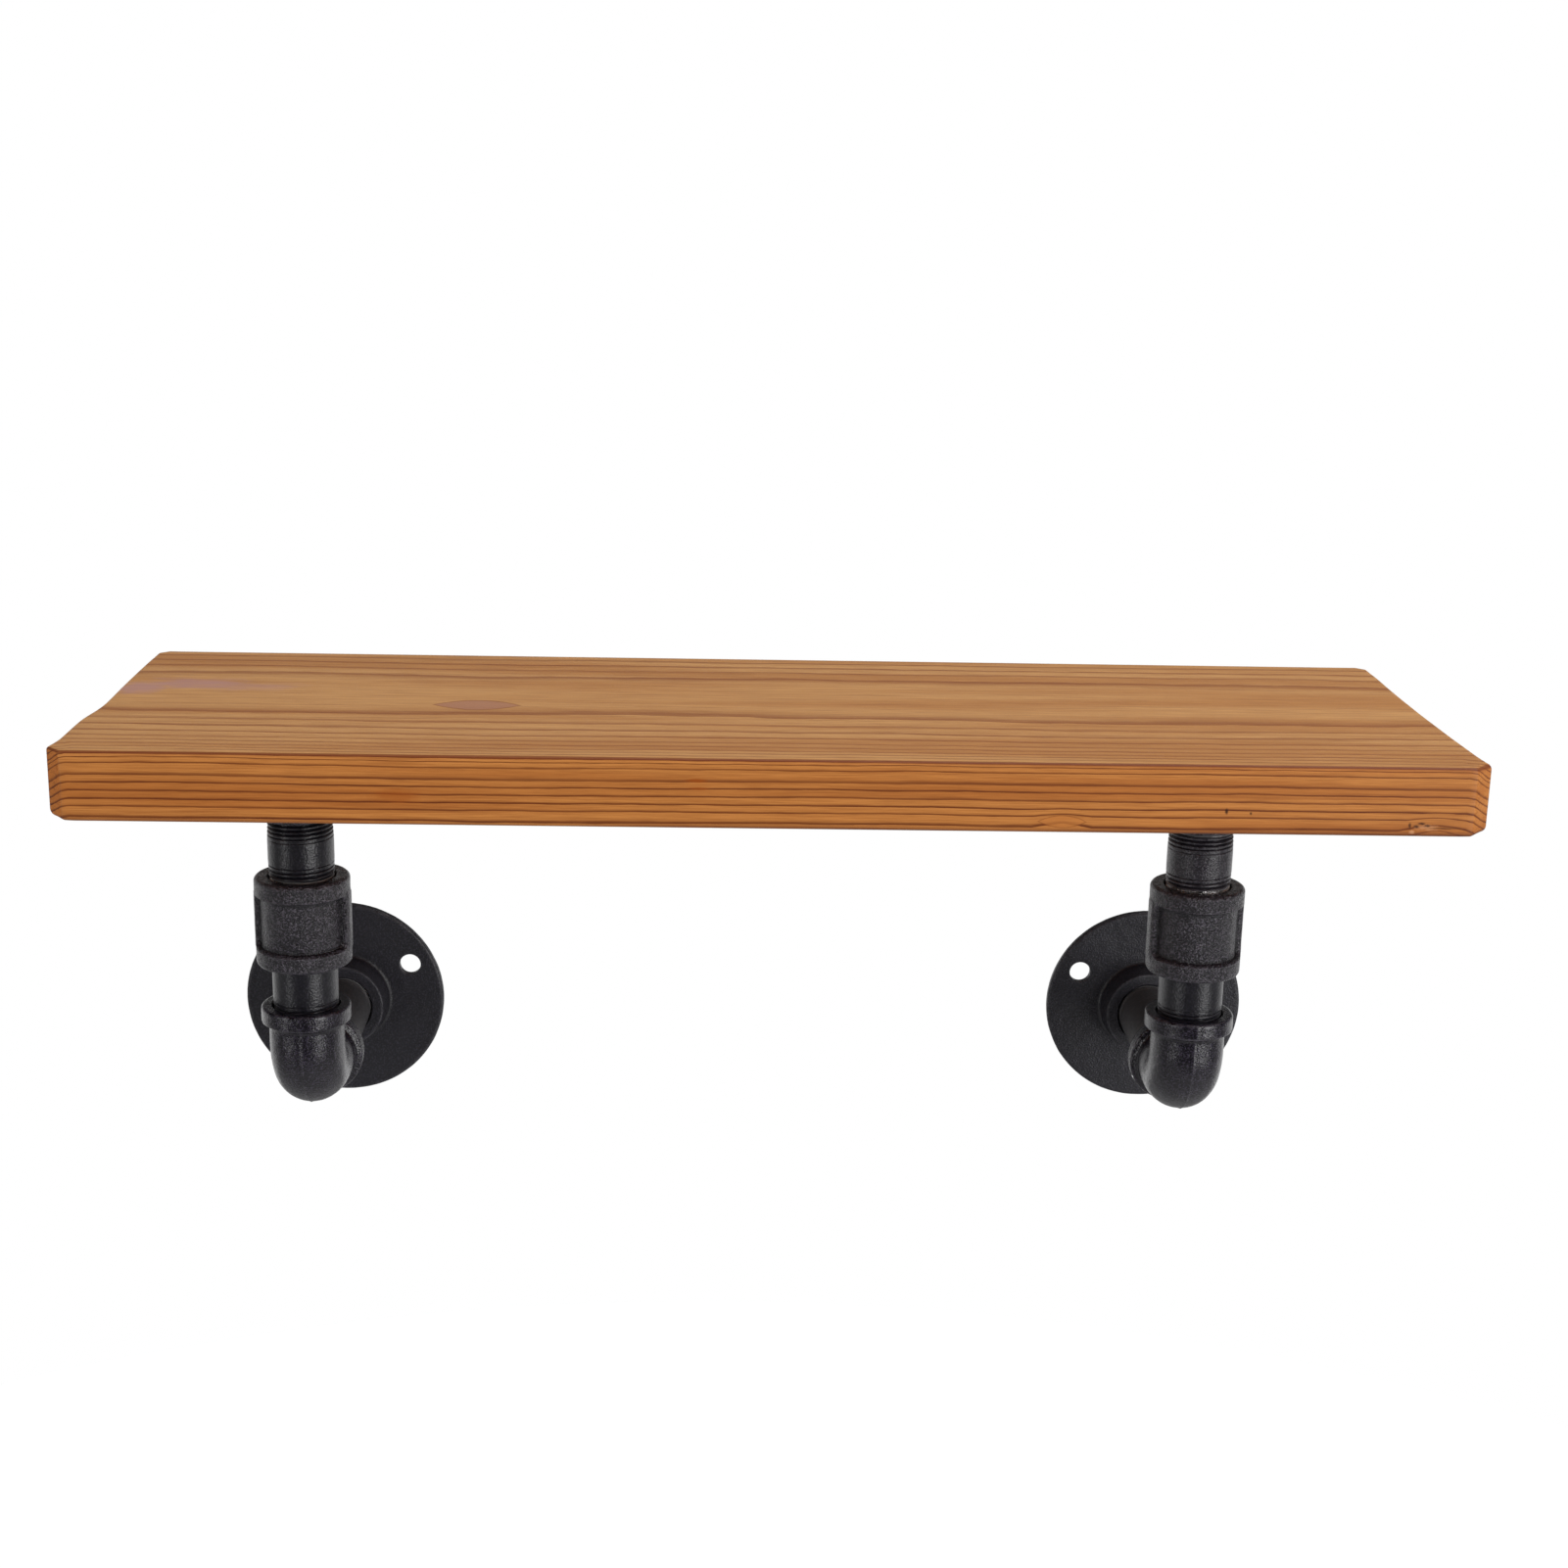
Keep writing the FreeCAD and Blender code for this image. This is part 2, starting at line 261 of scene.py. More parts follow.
# %% Floor
FLOOR_PAINT = (0.5, 0.5, 0.5, 1)
FLOOR_GLOW = 0.8      # tops the lit floor up to the white of the room, so that its rim doesn't show
MIRRORED_GLOW = 0.06  # the share of it that shiny paint mirrors

floor_paint = bpy.data.materials.new("white studio floor")
tree = clean_tree(floor_paint)
rays, seen = light_rays(tree)
paint = node(tree, "ShaderNodeBsdfDiffuse", {"Color": FLOOR_PAINT})
seen = maths("MULTIPLY_ADD", rays["Is Glossy Ray"], MIRRORED_GLOW, seen)
glow = node(tree, "ShaderNodeEmission", {"Color": WHITE, "Strength": maths("MULTIPLY", seen, FLOOR_GLOW)})
surface = node(tree, "ShaderNodeAddShader", {0: paint.outputs[0], 1: glow.outputs[0]})
node(tree, "ShaderNodeOutputMaterial", {"Surface": surface.outputs[0]})

floor_mesh = bpy.data.meshes.new("floor")
rim = [
    (FLOOR_RADIUS * math.cos(a), FLOOR_RADIUS * math.sin(a), FLOOR_HEIGHT)
    for a in np.linspace(0, 2 * math.pi, FLOOR_SIDES, endpoint=False)
]
floor_mesh.from_pydata(rim, [], [tuple(range(FLOOR_SIDES))])
floor_mesh.materials.append(floor_paint)
add_object("floor", floor_mesh)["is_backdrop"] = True

# %% [markdown]
# ## Shared effects
# The same few things happen to every painted casting and pipe: the paint is gritty, it is rubbed grey
# along the edges, and shade is painted into the inner corners to keep them black. Each effect is a node
# group with named inputs, built once and placed in each material with its own numbers. A group hands
# back masks and heights only, and the shader stays in the material.

# %% Helpers for groups
SOCKET_KINDS = {float: "Float", int: "Int", tuple: "Vector"}
ORIGIN = (0.0, 0.0, 0.0)


def new_tree(name, kind, inputs, outputs):
    """An empty group and its inputs.

    Each socket's name comes with its start value, or with a kind's name where there is no such value.
    """
    tree = bpy.data.node_groups.new(name, kind)
    for way, sockets in (("INPUT", inputs), ("OUTPUT", outputs)):
        for label, start in sockets.items():
            socket_kind = start if isinstance(start, str) else SOCKET_KINDS[type(start)]
            made = tree.interface.new_socket(label, in_out=way, socket_type="NodeSocket" + socket_kind)
            if start != socket_kind:
                made.default_value = start
    return tree, node(tree, "NodeGroupInput").outputs


def place_group(tree, group, inputs):
    """Puts a shader group in a material's tree."""
    return node(tree, "ShaderNodeGroup", inputs, node_tree=group).outputs


def noise(vector, scale, detail=2.0, roughness=0.5):
    """The value output of a Noise Texture."""
    return node(vector.id_data, "ShaderNodeTexNoise", {
        "Vector": vector, "Scale": scale, "Detail": detail, "Roughness": roughness,
    }).outputs[0]


# %% Grit in the paint
def grit_group():
    """Sand-like grains of a given size in millimetres, over slower waves in the metal below."""
    group, given = new_tree(
        "paint grit", "ShaderNodeTree",
        {"Position": ORIGIN, "Grain Size": 0.6, "Wave Size": 4.0, "Wave Share": 0.5},
        {"Height": 0.0, "Grain": 0.0},
    )
    grain = noise(given["Position"], maths("DIVIDE", 1.0, given["Grain Size"]), detail=1.5, roughness=0.6)
    wave = noise(given["Position"], maths("DIVIDE", 1.0, given["Wave Size"]), detail=1.0)
    height = maths("ADD", grain, maths("MULTIPLY", wave, given["Wave Share"]))
    node(group, "NodeGroupOutput", {"Height": height, "Grain": grain})
    return group


paint_grit = grit_group()

# %% Wear along the edges, and painted shade in the inner corners
def wear_and_shade_group():
    """Wear is 1 where an edge sticks out and the noise is high. The other output, painted shade, is 1 in
    an inner corner.
    """
    group, given = new_tree(
        "edge wear and crease shade", "ShaderNodeTree",
        {"Position": ORIGIN, "Patch Size": 3.0, "Reach": 0.06}, {"Wear": 0.0, "Crease Shade": 0.0},
    )
    edge = node(group, "ShaderNodeNewGeometry").outputs["Pointiness"]
    above = maths("DIVIDE", maths("SUBTRACT", edge, 0.5), given["Reach"], use_clamp=True)
    patches = noise(given["Position"], maths("DIVIDE", 1.0, given["Patch Size"]), detail=3.0)
    broken = ramp(patches, (0.35, 0.0), (0.65, 1.0))
    half_reach = maths("MULTIPLY", given["Reach"], 0.5)
    below = maths("DIVIDE", maths("SUBTRACT", 0.5, edge), half_reach, use_clamp=True)
    node(group, "NodeGroupOutput", {"Wear": maths("MULTIPLY", above, broken), "Crease Shade": below})
    return group


edge_wear_and_shade = wear_and_shade_group()


# %% [markdown]
# ## Black finishes
# The castings are painted over rough cast iron, so the streak that a softbox draws on them breaks up
# into sparks. The pipes are drawn smooth before they are painted, so theirs is softer and whole. All
# are one recipe with different numbers: near-black paint, grit as bump, grain tops that are paler,
# partly in the grit's own tone and partly as painted sparkle, a roughness that wanders, a greyer edge
# and painted shade that keeps each inner corner black. The pipes at the wall are duller than the rest,
# and one of the upper pipes has been handled until its paint went grey.

# %% Black paint
WAVE_GRAINS = 7         # a wave in the metal is as wide as so many grains
WAVE_SHARE = 0.8        # and this high, against a grain
SPECKS_AND_SPARKLE = ((0.50, 0.0), (0.64, 1.0))   # from which height a grain's top is paler: partly the grit's tone, partly painted sparkle
RUBBED_PATCH = 4.0      # millimetres
EDGE_REACH = 0.08
DUST_SCALE = 0.06       # changes a millimetre
DUSTY = 1.5             # how much paler the dust makes the paint
COATED = 1.5            # the index of refraction of paint and of oil on wood
STEEL_GLOSS = 0.25      # the roughness of cut steel


def material(name):
    """An empty node material, its tree, and object coordinates in millimetres."""
    made = bpy.data.materials.new(name)
    tree = clean_tree(made)
    return made, tree, scaled(node(tree, "ShaderNodeTexCoord").outputs["Object"], 1 / MM)


def coated_surface(tree, height, relief, inputs):
    """Ends a material: a bump as deep as relief, in millimetres, and a coated surface."""
    bump = node(tree, "ShaderNodeBump", {"Height": height, "Distance": relief * MM, "Strength": 1.0})
    shader = node(tree, "ShaderNodeBsdfPrincipled", {
        "Normal": bump.outputs[0], "IOR": COATED, **inputs,
    })
    node(tree, "ShaderNodeOutputMaterial", {"Surface": shader.outputs[0]})


def black_paint(name, colour, speck_and_sparkle, rubbed, grain, grit_height, roughness, spread, bare=None):
    """Black paint with grit of a grain size and height in millimetres, paler on each grain's top: partly
    the grit's tone, partly painted sparkle.

    bare names a mesh attribute that is 1 where the metal has no paint.
    """
    made, tree, position = material(name)
    grit = place_group(tree, paint_grit, {
        "Position": position, "Grain Size": grain,
        "Wave Size": grain * WAVE_GRAINS, "Wave Share": WAVE_SHARE,
    })
    wear_and_shade = place_group(tree, edge_wear_and_shade, {
        "Position": position, "Patch Size": RUBBED_PATCH, "Reach": EDGE_REACH,
    })
    dust = noise(position, DUST_SCALE, detail=4.0, roughness=0.6)
    tone = mix(ramp(dust, (0.3, 0.0), (0.7, 1.0)), colour, tuple(c * DUSTY for c in colour))
    # the paler grain tops: partly the grit's own tone, partly painted sparkle
    tone = mix(ramp(grit["Grain"], *SPECKS_AND_SPARKLE), tone, speck_and_sparkle)
    # painted shade: each inner corner goes back to the plain dark paint
    tone = mix(wear_and_shade["Crease Shade"], tone, colour)
    tone = mix(wear_and_shade["Wear"], tone, rubbed)
    gloss = maths("MULTIPLY_ADD", grit["Grain"], -spread, roughness + spread / 2)
    metal = 0.0
    if bare:
        metal = node(tree, "ShaderNodeAttribute", attribute_name=bare).outputs["Fac"]
        tone = mix(metal, tone, CUT_STEEL)
        gloss = maths("MINIMUM", gloss, maths("MULTIPLY_ADD", metal, STEEL_GLOSS - 1, 1.0))
    coated_surface(tree, grit["Height"], grit_height, {
        "Base Color": tone, "Roughness": gloss, "Metallic": metal,
    })
    return made


CUT_STEEL = srgb(204, 202, 202)

cast_black = black_paint(
    "black cast iron", srgb(13, 10, 17), speck_and_sparkle=srgb(80, 75, 84), rubbed=srgb(88, 83, 92),
    grain=0.8, grit_height=0.85, roughness=0.32, spread=0.46,
)
elbow_black = black_paint(
    "black cast iron elbow", srgb(12, 9, 16), speck_and_sparkle=srgb(52, 47, 60), rubbed=srgb(84, 80, 89),
    grain=0.75, grit_height=0.24, roughness=0.2, spread=0.26,
)
plate_black = black_paint(
    "black cast iron plate", srgb(20, 19, 25), speck_and_sparkle=srgb(43, 41, 50), rubbed=srgb(70, 68, 74),
    grain=0.8, grit_height=0.25, roughness=0.46, spread=0.3,
)
pipe_black = black_paint(
    "black pipe", srgb(13, 12, 18), speck_and_sparkle=srgb(33, 31, 40), rubbed=srgb(60, 58, 62),
    grain=0.9, grit_height=0.2, roughness=0.34, spread=0.24, bare="bare",
)
rough_pipe_black = black_paint(
    "black pipe rubbed", srgb(24, 21, 27), speck_and_sparkle=srgb(70, 66, 74), rubbed=srgb(84, 81, 88),
    grain=0.75, grit_height=0.3, roughness=0.34, spread=0.3, bare="bare",
)
arm_black = black_paint(
    "black arm pipe", srgb(42, 41, 43), speck_and_sparkle=srgb(58, 56, 58), rubbed=srgb(74, 72, 74),
    grain=1.1, grit_height=0.15, roughness=0.5, spread=0.2, bare="bare",
)

# %% [markdown]
# ## Threaded pipes
# Every pipe between two fittings is the same thing in another length: a tube with a taper thread cut
# on each end. A thread follows a rule, so Geometry Nodes makes it. The tree has a named input for each
# measure and, like every tree here, it ends in real geometry with its finish on it.

# %% The pipe tree
def finish_tree(tree, geometry, material_input):
    """Every tree ends in real geometry with its finish on it."""
    smooth = node(tree, "GeometryNodeSetShadeSmooth", {"Geometry": geometry}).outputs[0]
    real = node(tree, "GeometryNodeRealizeInstances", {"Geometry": smooth}).outputs[0]
    inputs = {"Geometry": real, "Material": material_input}
    painted = node(tree, "GeometryNodeSetMaterial", inputs).outputs[0]
    node(tree, "NodeGroupOutput", {"Geometry": painted})


# a threaded pipe that stands on z = 0, with its lengths in metres
threaded_pipe, given = new_tree("threaded pipe", "GeometryNodeTree", {
    "Length": 0.05, "Outside Radius": 0.0135, "Bore Radius": 0.0108,
    "Thread Pitch": 0.0018, "Start Thread": 0.0174, "End Thread": 0.0174,
    "Thread Depth": 0.0012, "Fade Length": 0.0045, "Taper": 0.031,
    "Start Bare": 0.0, "End Bare": 0.0, "Turned By": 0.0,
    "Rows": 100, "Columns": 72, "Finish": "Material",
}, {"Geometry": "Geometry"})

# %% [markdown]
# A flat grid is rolled up: its rows run along the pipe and its columns round it. A point's index says
# which row and which column it is in.

# %% Rows along the pipe and columns round it
one_more = maths("ADD", given["Columns"], 1)
grid = node(threaded_pipe, "GeometryNodeMeshGrid", {
    "Vertices X": maths("ADD", given["Rows"], 3), "Vertices Y": one_more,
}).outputs["Mesh"]
index = node(threaded_pipe, "GeometryNodeInputIndex").outputs[0]
row = maths("FLOOR", maths("DIVIDE", maths("ADD", index, 0.5), one_more))
column = maths("SUBTRACT", index, maths("MULTIPLY", row, one_more))
turn = maths("DIVIDE", column, given["Columns"])
angle = maths("MULTIPLY", turn, 2 * math.pi)

last_row = maths("SUBTRACT", given["Rows"], 1)
share = maths("DIVIDE", row, last_row, use_clamp=True)
back_at_start = maths("GREATER_THAN", row, maths("ADD", given["Rows"], 0.5))
along_share = maths("MULTIPLY", share, maths("SUBTRACT", 1.0, back_at_start))
along = maths("MULTIPLY", along_share, given["Length"])
to_end = maths("SUBTRACT", given["Length"], along)
start_left = maths("SUBTRACT", given["Start Thread"], along)
end_left = maths("SUBTRACT", given["End Thread"], to_end)
left = maths("MAXIMUM", maths("MAXIMUM", start_left, end_left), 0.0)

# %% [markdown]
# The phase of the thread is the distance along the pipe less the share of a turn, and a V with flanks
# at 30 degrees is cut wherever that phase is whole. The die cuts on a cone, so the groove gets
# shallower and narrower until it runs out. Where it was cut after painting it is bright steel, and the
# tree marks that on the points as "bare".

# %% Cut the thread
CUT_SHOWS = 0.15 * MM   # a groove this deep has gone through the paint
BARE_FADE = 0.5 * MM
FLANK_RISE = 1 / math.tan(math.radians(30))

phase = maths("SUBTRACT", maths("DIVIDE", along, given["Thread Pitch"]), turn)
phase = maths("ADD", phase, given["Turned By"])
from_root = maths("MULTIPLY", maths("PINGPONG", phase, 0.5), given["Thread Pitch"])
depth = maths("DIVIDE", left, given["Fade Length"], use_clamp=True)
depth = maths("MULTIPLY", depth, given["Thread Depth"])
crest = maths("SUBTRACT", given["Outside Radius"], maths("MULTIPLY", left, given["Taper"]))
root = maths("SUBTRACT", crest, depth)
flank = maths("MULTIPLY_ADD", from_root, FLANK_RISE, root)
outside = maths("MINIMUM", crest, flank)
cut = maths("DIVIDE", maths("SUBTRACT", crest, outside), CUT_SHOWS, use_clamp=True)
near_start = maths("SUBTRACT", given["Start Bare"], along)
near_end = maths("SUBTRACT", given["End Bare"], to_end)
bare = maths("DIVIDE", maths("MAXIMUM", near_start, near_end), BARE_FADE, use_clamp=True)
bare = maths("MULTIPLY", bare, cut)

# %% [markdown]
# Three more rows turn the surface in at one end, back through the bore and out again, so that the skin
# is closed. Then each point moves to its place round the axis.

# %% Close the skin and roll it up
SAME_PLACE = 0.01 * MM  # points closer than this are joined

past_outside = maths("GREATER_THAN", row, maths("ADD", last_row, 0.5))
closing = maths("GREATER_THAN", row, maths("ADD", given["Rows"], 1.5))
in_bore = maths("SUBTRACT", past_outside, closing)
radius = node(threaded_pipe, "ShaderNodeMix", {
    "Factor": in_bore, 2: outside, 3: given["Bore Radius"],
}, data_type="FLOAT").outputs[0]

place = node(threaded_pipe, "ShaderNodeCombineXYZ", {
    "X": maths("MULTIPLY", radius, maths("COSINE", angle)),
    "Y": maths("MULTIPLY", radius, maths("SINE", angle)),
    "Z": along,
}).outputs[0]
marked = node(threaded_pipe, "GeometryNodeStoreNamedAttribute", {
    "Geometry": grid, "Name": "bare", "Value": bare,
}, data_type="FLOAT", domain="POINT").outputs[0]
rolled = node(threaded_pipe, "GeometryNodeSetPosition", {
    "Geometry": marked, "Position": place,
}).outputs[0]
joined = node(threaded_pipe, "GeometryNodeMergeByDistance", {
    "Geometry": rolled, "Distance": SAME_PLACE,
}).outputs[0]
outward = node(threaded_pipe, "GeometryNodeFlipFaces", {"Mesh": joined}).outputs[0]
finish_tree(threaded_pipe, outward, given["Finish"])
print("the pipe tree has", len(threaded_pipe.nodes), "nodes")

# %% Run a tree into a plain mesh
CREASE = math.radians(40)  # edges sharper than this are drawn as edges


def grow(name, tree, values, start=None):
    """Runs a tree on an object and keeps the result as a plain mesh with no modifier."""
    seed_mesh = start or bpy.data.meshes.new(name)
    grown = add_object(name, seed_mesh)
    modifier = grown.modifiers.new("nodes", "NODES")
    modifier.node_group = tree
    for item in tree.interface.items_tree:
        if item.in_out == "INPUT" and item.name in values:
            modifier[item.identifier] = values[item.name]
    depsgraph = bpy.context.evaluated_depsgraph_get()
    mesh = bpy.data.meshes.new_from_object(grown.evaluated_get(depsgraph))
    grown.modifiers.remove(modifier)
    grown.data = mesh
    mesh.name = name
    mesh.set_sharp_from_angle(angle=CREASE)
    return grown


def hand_over(piece, cad_node, body):
    """The piece takes the place of a solid and moves with its body."""
    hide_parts(cad_node)
    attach(piece, body)
    piece.data.calc_loop_triangles()
    print(f"{piece.name:22s} {len(piece.data.loop_triangles):7d} triangles, rides on {body}")


# %% Cut the six pipes
PIPE_RADIUS = 13.45
BORE_RADIUS = 10.85
THREAD_PITCH = 25.4 / 14
THREAD_LENGTH = 17.4
LONG_THREADS = (22.0, 21.2)  # on the upper nipples, whose threads show, at their lower and upper ends
LOWER_THREAD = {"left": 19.0, "right": 20.2}  # at the foot of the lower nipples, where a turn or two shows
THREAD_DEPTH = 1.16
THREAD_TAPER = 1 / 32
FADE_TURNS = 3.0
ROW_SPACING = 0.20
SIDES = ("left", "right")
# how far the thread is bare from each end of a pipe: this is the bite of its fitting and what shows
BARE_THREAD = {"right_upper_nipple": (15.8, 12.6), "left_upper_nipple": (14.8, 11.0)}
PAINTED_THREAD = (11.0, 9.0)
UPPER_FINISH = {"left": pipe_black, "right": rough_pipe_black}
LAID_BACK = Matrix.Rotation(math.pi / 2, 4, "X")  # turns a piece that was made upright to face the room


def foot_of(cad_node):
    """The place of the middle of a solid's foot."""
    low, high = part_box(cad_node)
    middle = (low + high) / 2
    return Matrix.Translation((middle.x, middle.y, low.z))


def pipe(cad_node, turned_by, threads, finish):
    """One pipe, as long as the solid that it replaces and in the same place."""
    bare = BARE_THREAD.get(cad_node, PAINTED_THREAD)
    low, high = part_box(cad_node)
    size = high - low
    lies_down = size.y > size.z
    length = max(size.y, size.z)
    made = grow(f"{cad_node}_threaded", threaded_pipe, {
        "Length": length,
        "Outside Radius": PIPE_RADIUS * MM,
        "Bore Radius": BORE_RADIUS * MM,
        "Thread Pitch": THREAD_PITCH * MM,
        "Start Thread": threads[0] * MM,
        "End Thread": threads[1] * MM,
        "Thread Depth": THREAD_DEPTH * MM,
        "Fade Length": FADE_TURNS * THREAD_PITCH * MM,
        "Taper": THREAD_TAPER,
        "Start Bare": bare[0] * MM,
        "End Bare": bare[1] * MM,
        "Turned By": turned_by,
        "Rows": round(length / MM / ROW_SPACING),
        "Finish": finish,
    })
    place = foot_of(cad_node)
    if lies_down:
        middle = (low + high) / 2
        place = Matrix.Translation((middle.x, high.y, middle.z)) @ LAID_BACK
    made.data.transform(place)
    return made


for side in SIDES:
    for part, turned_by, threads, finish in (
        ("arm_nipple", 0.0, (THREAD_LENGTH, THREAD_LENGTH), arm_black),
        ("lower_nipple", 0.3, (LOWER_THREAD[side], THREAD_LENGTH), pipe_black),
        ("upper_nipple", 0.6, LONG_THREADS, UPPER_FINISH[side]),
    ):
        cad_node = f"{side}_{part}"
        hand_over(pipe(cad_node, turned_by, threads, finish), cad_node, "brackets")

# %% [markdown]
# ## Castings
# A fitting is cast in sand from a pattern, so it has bands, ribs and soft fillets that no machine cuts.
# Most of its shape is turned. An outline of corners, each with its own rounding, is walked in short
# steps and swept round the axis. What isn't round, such as the sunk panels of the coupling or the ribs
# of the cap, is then a change of the radius that depends on the angle and the height, which gives
# fillets that run out as softly as on the real casting.

# %% Outlines and skins
def walk(corners, step, closed=True):
    """Points along an outline of (radius, height, rounding) corners, no further apart than step."""
    points = [np.array(corner[:2], float) for corner in corners]
    count = len(points)
    path = []
    for i, (_, _, rounding) in enumerate(corners):
        here = points[i]
        if rounding == 0 or (not closed and i in (0, count - 1)):
            path.append(here)
            continue
        # an arc that touches the sides before and after the corner
        before, after = points[i - 1] - here, points[(i + 1) % count] - here
        before, after = before / np.linalg.norm(before), after / np.linalg.norm(after)
        half = math.acos(np.clip(before @ after, -1, 1)) / 2
        start = here + before * rounding / math.tan(half)
        middle = before + after
        centre = here + middle / np.linalg.norm(middle) * rounding / math.sin(half)
        first = start - centre
        sweep = math.pi - 2 * half
        way = np.sign(before[1] * after[0] - before[0] * after[1])
        for part in np.linspace(0, sweep, max(3, math.ceil(rounding * sweep / step) + 1)):
            c, s = math.cos(part), way * math.sin(part)
            path.append(centre + np.array((c * first[0] - s * first[1], s * first[0] + c * first[1])))
    # then more points along every side
    filled = []
    ends = path[1:] + path[:1] if closed else path[1:]
    for start, end in zip(path, ends):
        pieces = max(1, math.ceil(np.linalg.norm(end - start) / step))
        filled += [start + (end - start) * k / pieces for k in range(pieces)]
    if not closed:
        filled.append(path[-1])
    return np.array(filled)


def skin(name, rings, looped):
    """A closed mesh over rings of points, an array of (rings, points round each, 3).

    A looped skin joins its last ring to its first, as on a tube. Otherwise each end is closed by
    one point in its middle.
    """
    rows, columns = rings.shape[:2]
    points = rings.reshape(-1, 3)
    index = np.arange(rows * columns).reshape(rows, columns)
    below = index if looped else index[:-1]
    above = np.roll(index, -1, axis=0) if looped else index[1:]
    # faces with four sides between each ring and the next
    quads = np.stack(
        (below, np.roll(below, -1, axis=1), np.roll(above, -1, axis=1), above), axis=-1
    ).reshape(-1, 4)
    faces = quads.tolist()
    if not looped:
        # and a fan of triangles over each end
        poles = np.array([rings[0].mean(axis=0), rings[-1].mean(axis=0)])
        points = np.vstack((points, poles))
        first, last = rows * columns, rows * columns + 1
        for k in range(columns):
            after = (k + 1) % columns
            faces.append((first, index[0][after], index[0][k]))
            faces.append((last, index[-1][k], index[-1][after]))
    mesh = bpy.data.meshes.new(name)
    mesh.from_pydata(points.tolist(), [], faces)
    mesh.validate()
    return mesh


def turned(name, outline, columns, looped=True, shape=None):
    """Sweeps an outline round Z. shape(radius, height, angle) may change the radius."""
    angle = np.linspace(0, 2 * math.pi, columns, endpoint=False)[None, :]
    radius, height = outline[:, 0][:, None], outline[:, 1][:, None]
    round_radius = radius * np.ones_like(angle)
    if shape:
        round_radius = shape(radius, height, angle)
    rings = np.stack((
        round_radius * np.cos(angle),
        round_radius * np.sin(angle),
        height * np.ones_like(angle),
    ), axis=-1)
    return skin(name, rings * MM, looped)


def soft_step(value):
    """0 below 0, 1 above 1, and an S curve between."""
    value = np.clip(value, 0, 1)
    return value * value * (3 - 2 * value)


def away_from(angle, centre):
    """How far an angle is from a centre, in radians, the short way round."""
    return np.abs((angle - centre + math.pi) % (2 * math.pi) - math.pi)


def from_pair(angle, first):
    """How far an angle is from the nearer of two places on opposite sides, in radians."""
    return np.minimum(away_from(angle, first), away_from(angle, first + math.pi))


# %% [markdown]
# Sand leaves a casting slightly lumpy, and the lumps bend the streaks of light on it. A second tree
# pushes every point in by a slow noise. It only ever pushes in, so no piece outgrows its solid.

# %% The casting tree
def casting_tree():
    """Pushes a mesh's points in by up to Depth metres, in lumps about Lump Size metres wide."""
    tree, given = new_tree("sand casting", "GeometryNodeTree", {
        "Casting": "Geometry", "Lump Size": 0.006, "Depth": 0.0002, "Seed": 0.0, "Finish": "Material",
    }, {"Geometry": "Geometry"})
    lumps = node(tree, "ShaderNodeTexNoise", {
        "W": given["Seed"], "Scale": maths("DIVIDE", 1.0, given["Lump Size"]), "Detail": 2.0,
    }, noise_dimensions="4D").outputs[0]
    inward = maths("MULTIPLY", maths("MULTIPLY", lumps, given["Depth"]), -1.0)
    normal = node(tree, "GeometryNodeInputNormal").outputs[0]
    pushed = node(tree, "GeometryNodeSetPosition", {
        "Geometry": given["Casting"], "Offset": scaled(normal, inward),
    }).outputs[0]
    finish_tree(tree, pushed, given["Finish"])
    return tree


sand_casting = casting_tree()
LUMP_SIZE = 7.0
LUMP_DEPTH = 0.30
# no two castings have the same lumps
FIRST_SEED = {"coupling": 3, "cap": 11, "elbow": 21, "wall_flange": 31}


def cast(side, part, pattern, place, finish=cast_black):
    """A casting from a pattern mesh about Z, with its own lumps, moved to its place."""
    made = grow(f"{side}_{part}_casting", sand_casting, {
        "Lump Size": LUMP_SIZE * MM,
        "Depth": LUMP_DEPTH * MM,
        "Seed": float(FIRST_SEED[part] + SIDES.index(side)),
        "Finish": finish,
    }, start=pattern)
    made.data.transform(place)
    return made


# %% [markdown]
# ### Sockets
# Every fitting has a socket at each mouth that a pipe screws into: a countersink, a bore, and a slope
# down to the narrower core. The pipe hides all of it but the rim, so the bore is left plain. It is one
# short run of corners that goes into the outline of each fitting below.

# %% Sockets
CORE_RADIUS = 11.3      # bore between the threads
SOCKET_RADIUS = 13.6    # clears the crests of the pipe's thread
MOUTH_RADIUS = 14.2     # countersink at each mouth
MOUTH_DEPTH = 0.9       # of the countersink
MOUTH_EDGE = 0.3        # rounding of its rim
STEP = 0.6              # spacing of the points along an outline
COLUMNS = 240


def socket_from(mouth, bite, slope, way=-1):
    """Corners from a mouth inwards: way is -1 where that is down and 1 where it is up."""
    return [
        (MOUTH_RADIUS, mouth, MOUTH_EDGE),
        (SOCKET_RADIUS, mouth + way * MOUTH_DEPTH, 0),
        (SOCKET_RADIUS, mouth + way * bite, 0),
        (CORE_RADIUS, mouth + way * (bite + slope), 0),
    ]


def solid_height(cad_node):
    """How tall a solid is, in millimetres."""
    low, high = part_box(cad_node)
    return (high.z - low.z) / MM


# %% [markdown]
# ### Coupling
# The coupling is a thick barrel with a band round each mouth. Two upright ribs join the bands, and
# what is left between is a sunk panel with rounded corners on the front and on the back. The panel is
# a rounded rectangle laid round the barrel: the distance to its outline says how deep each point is.

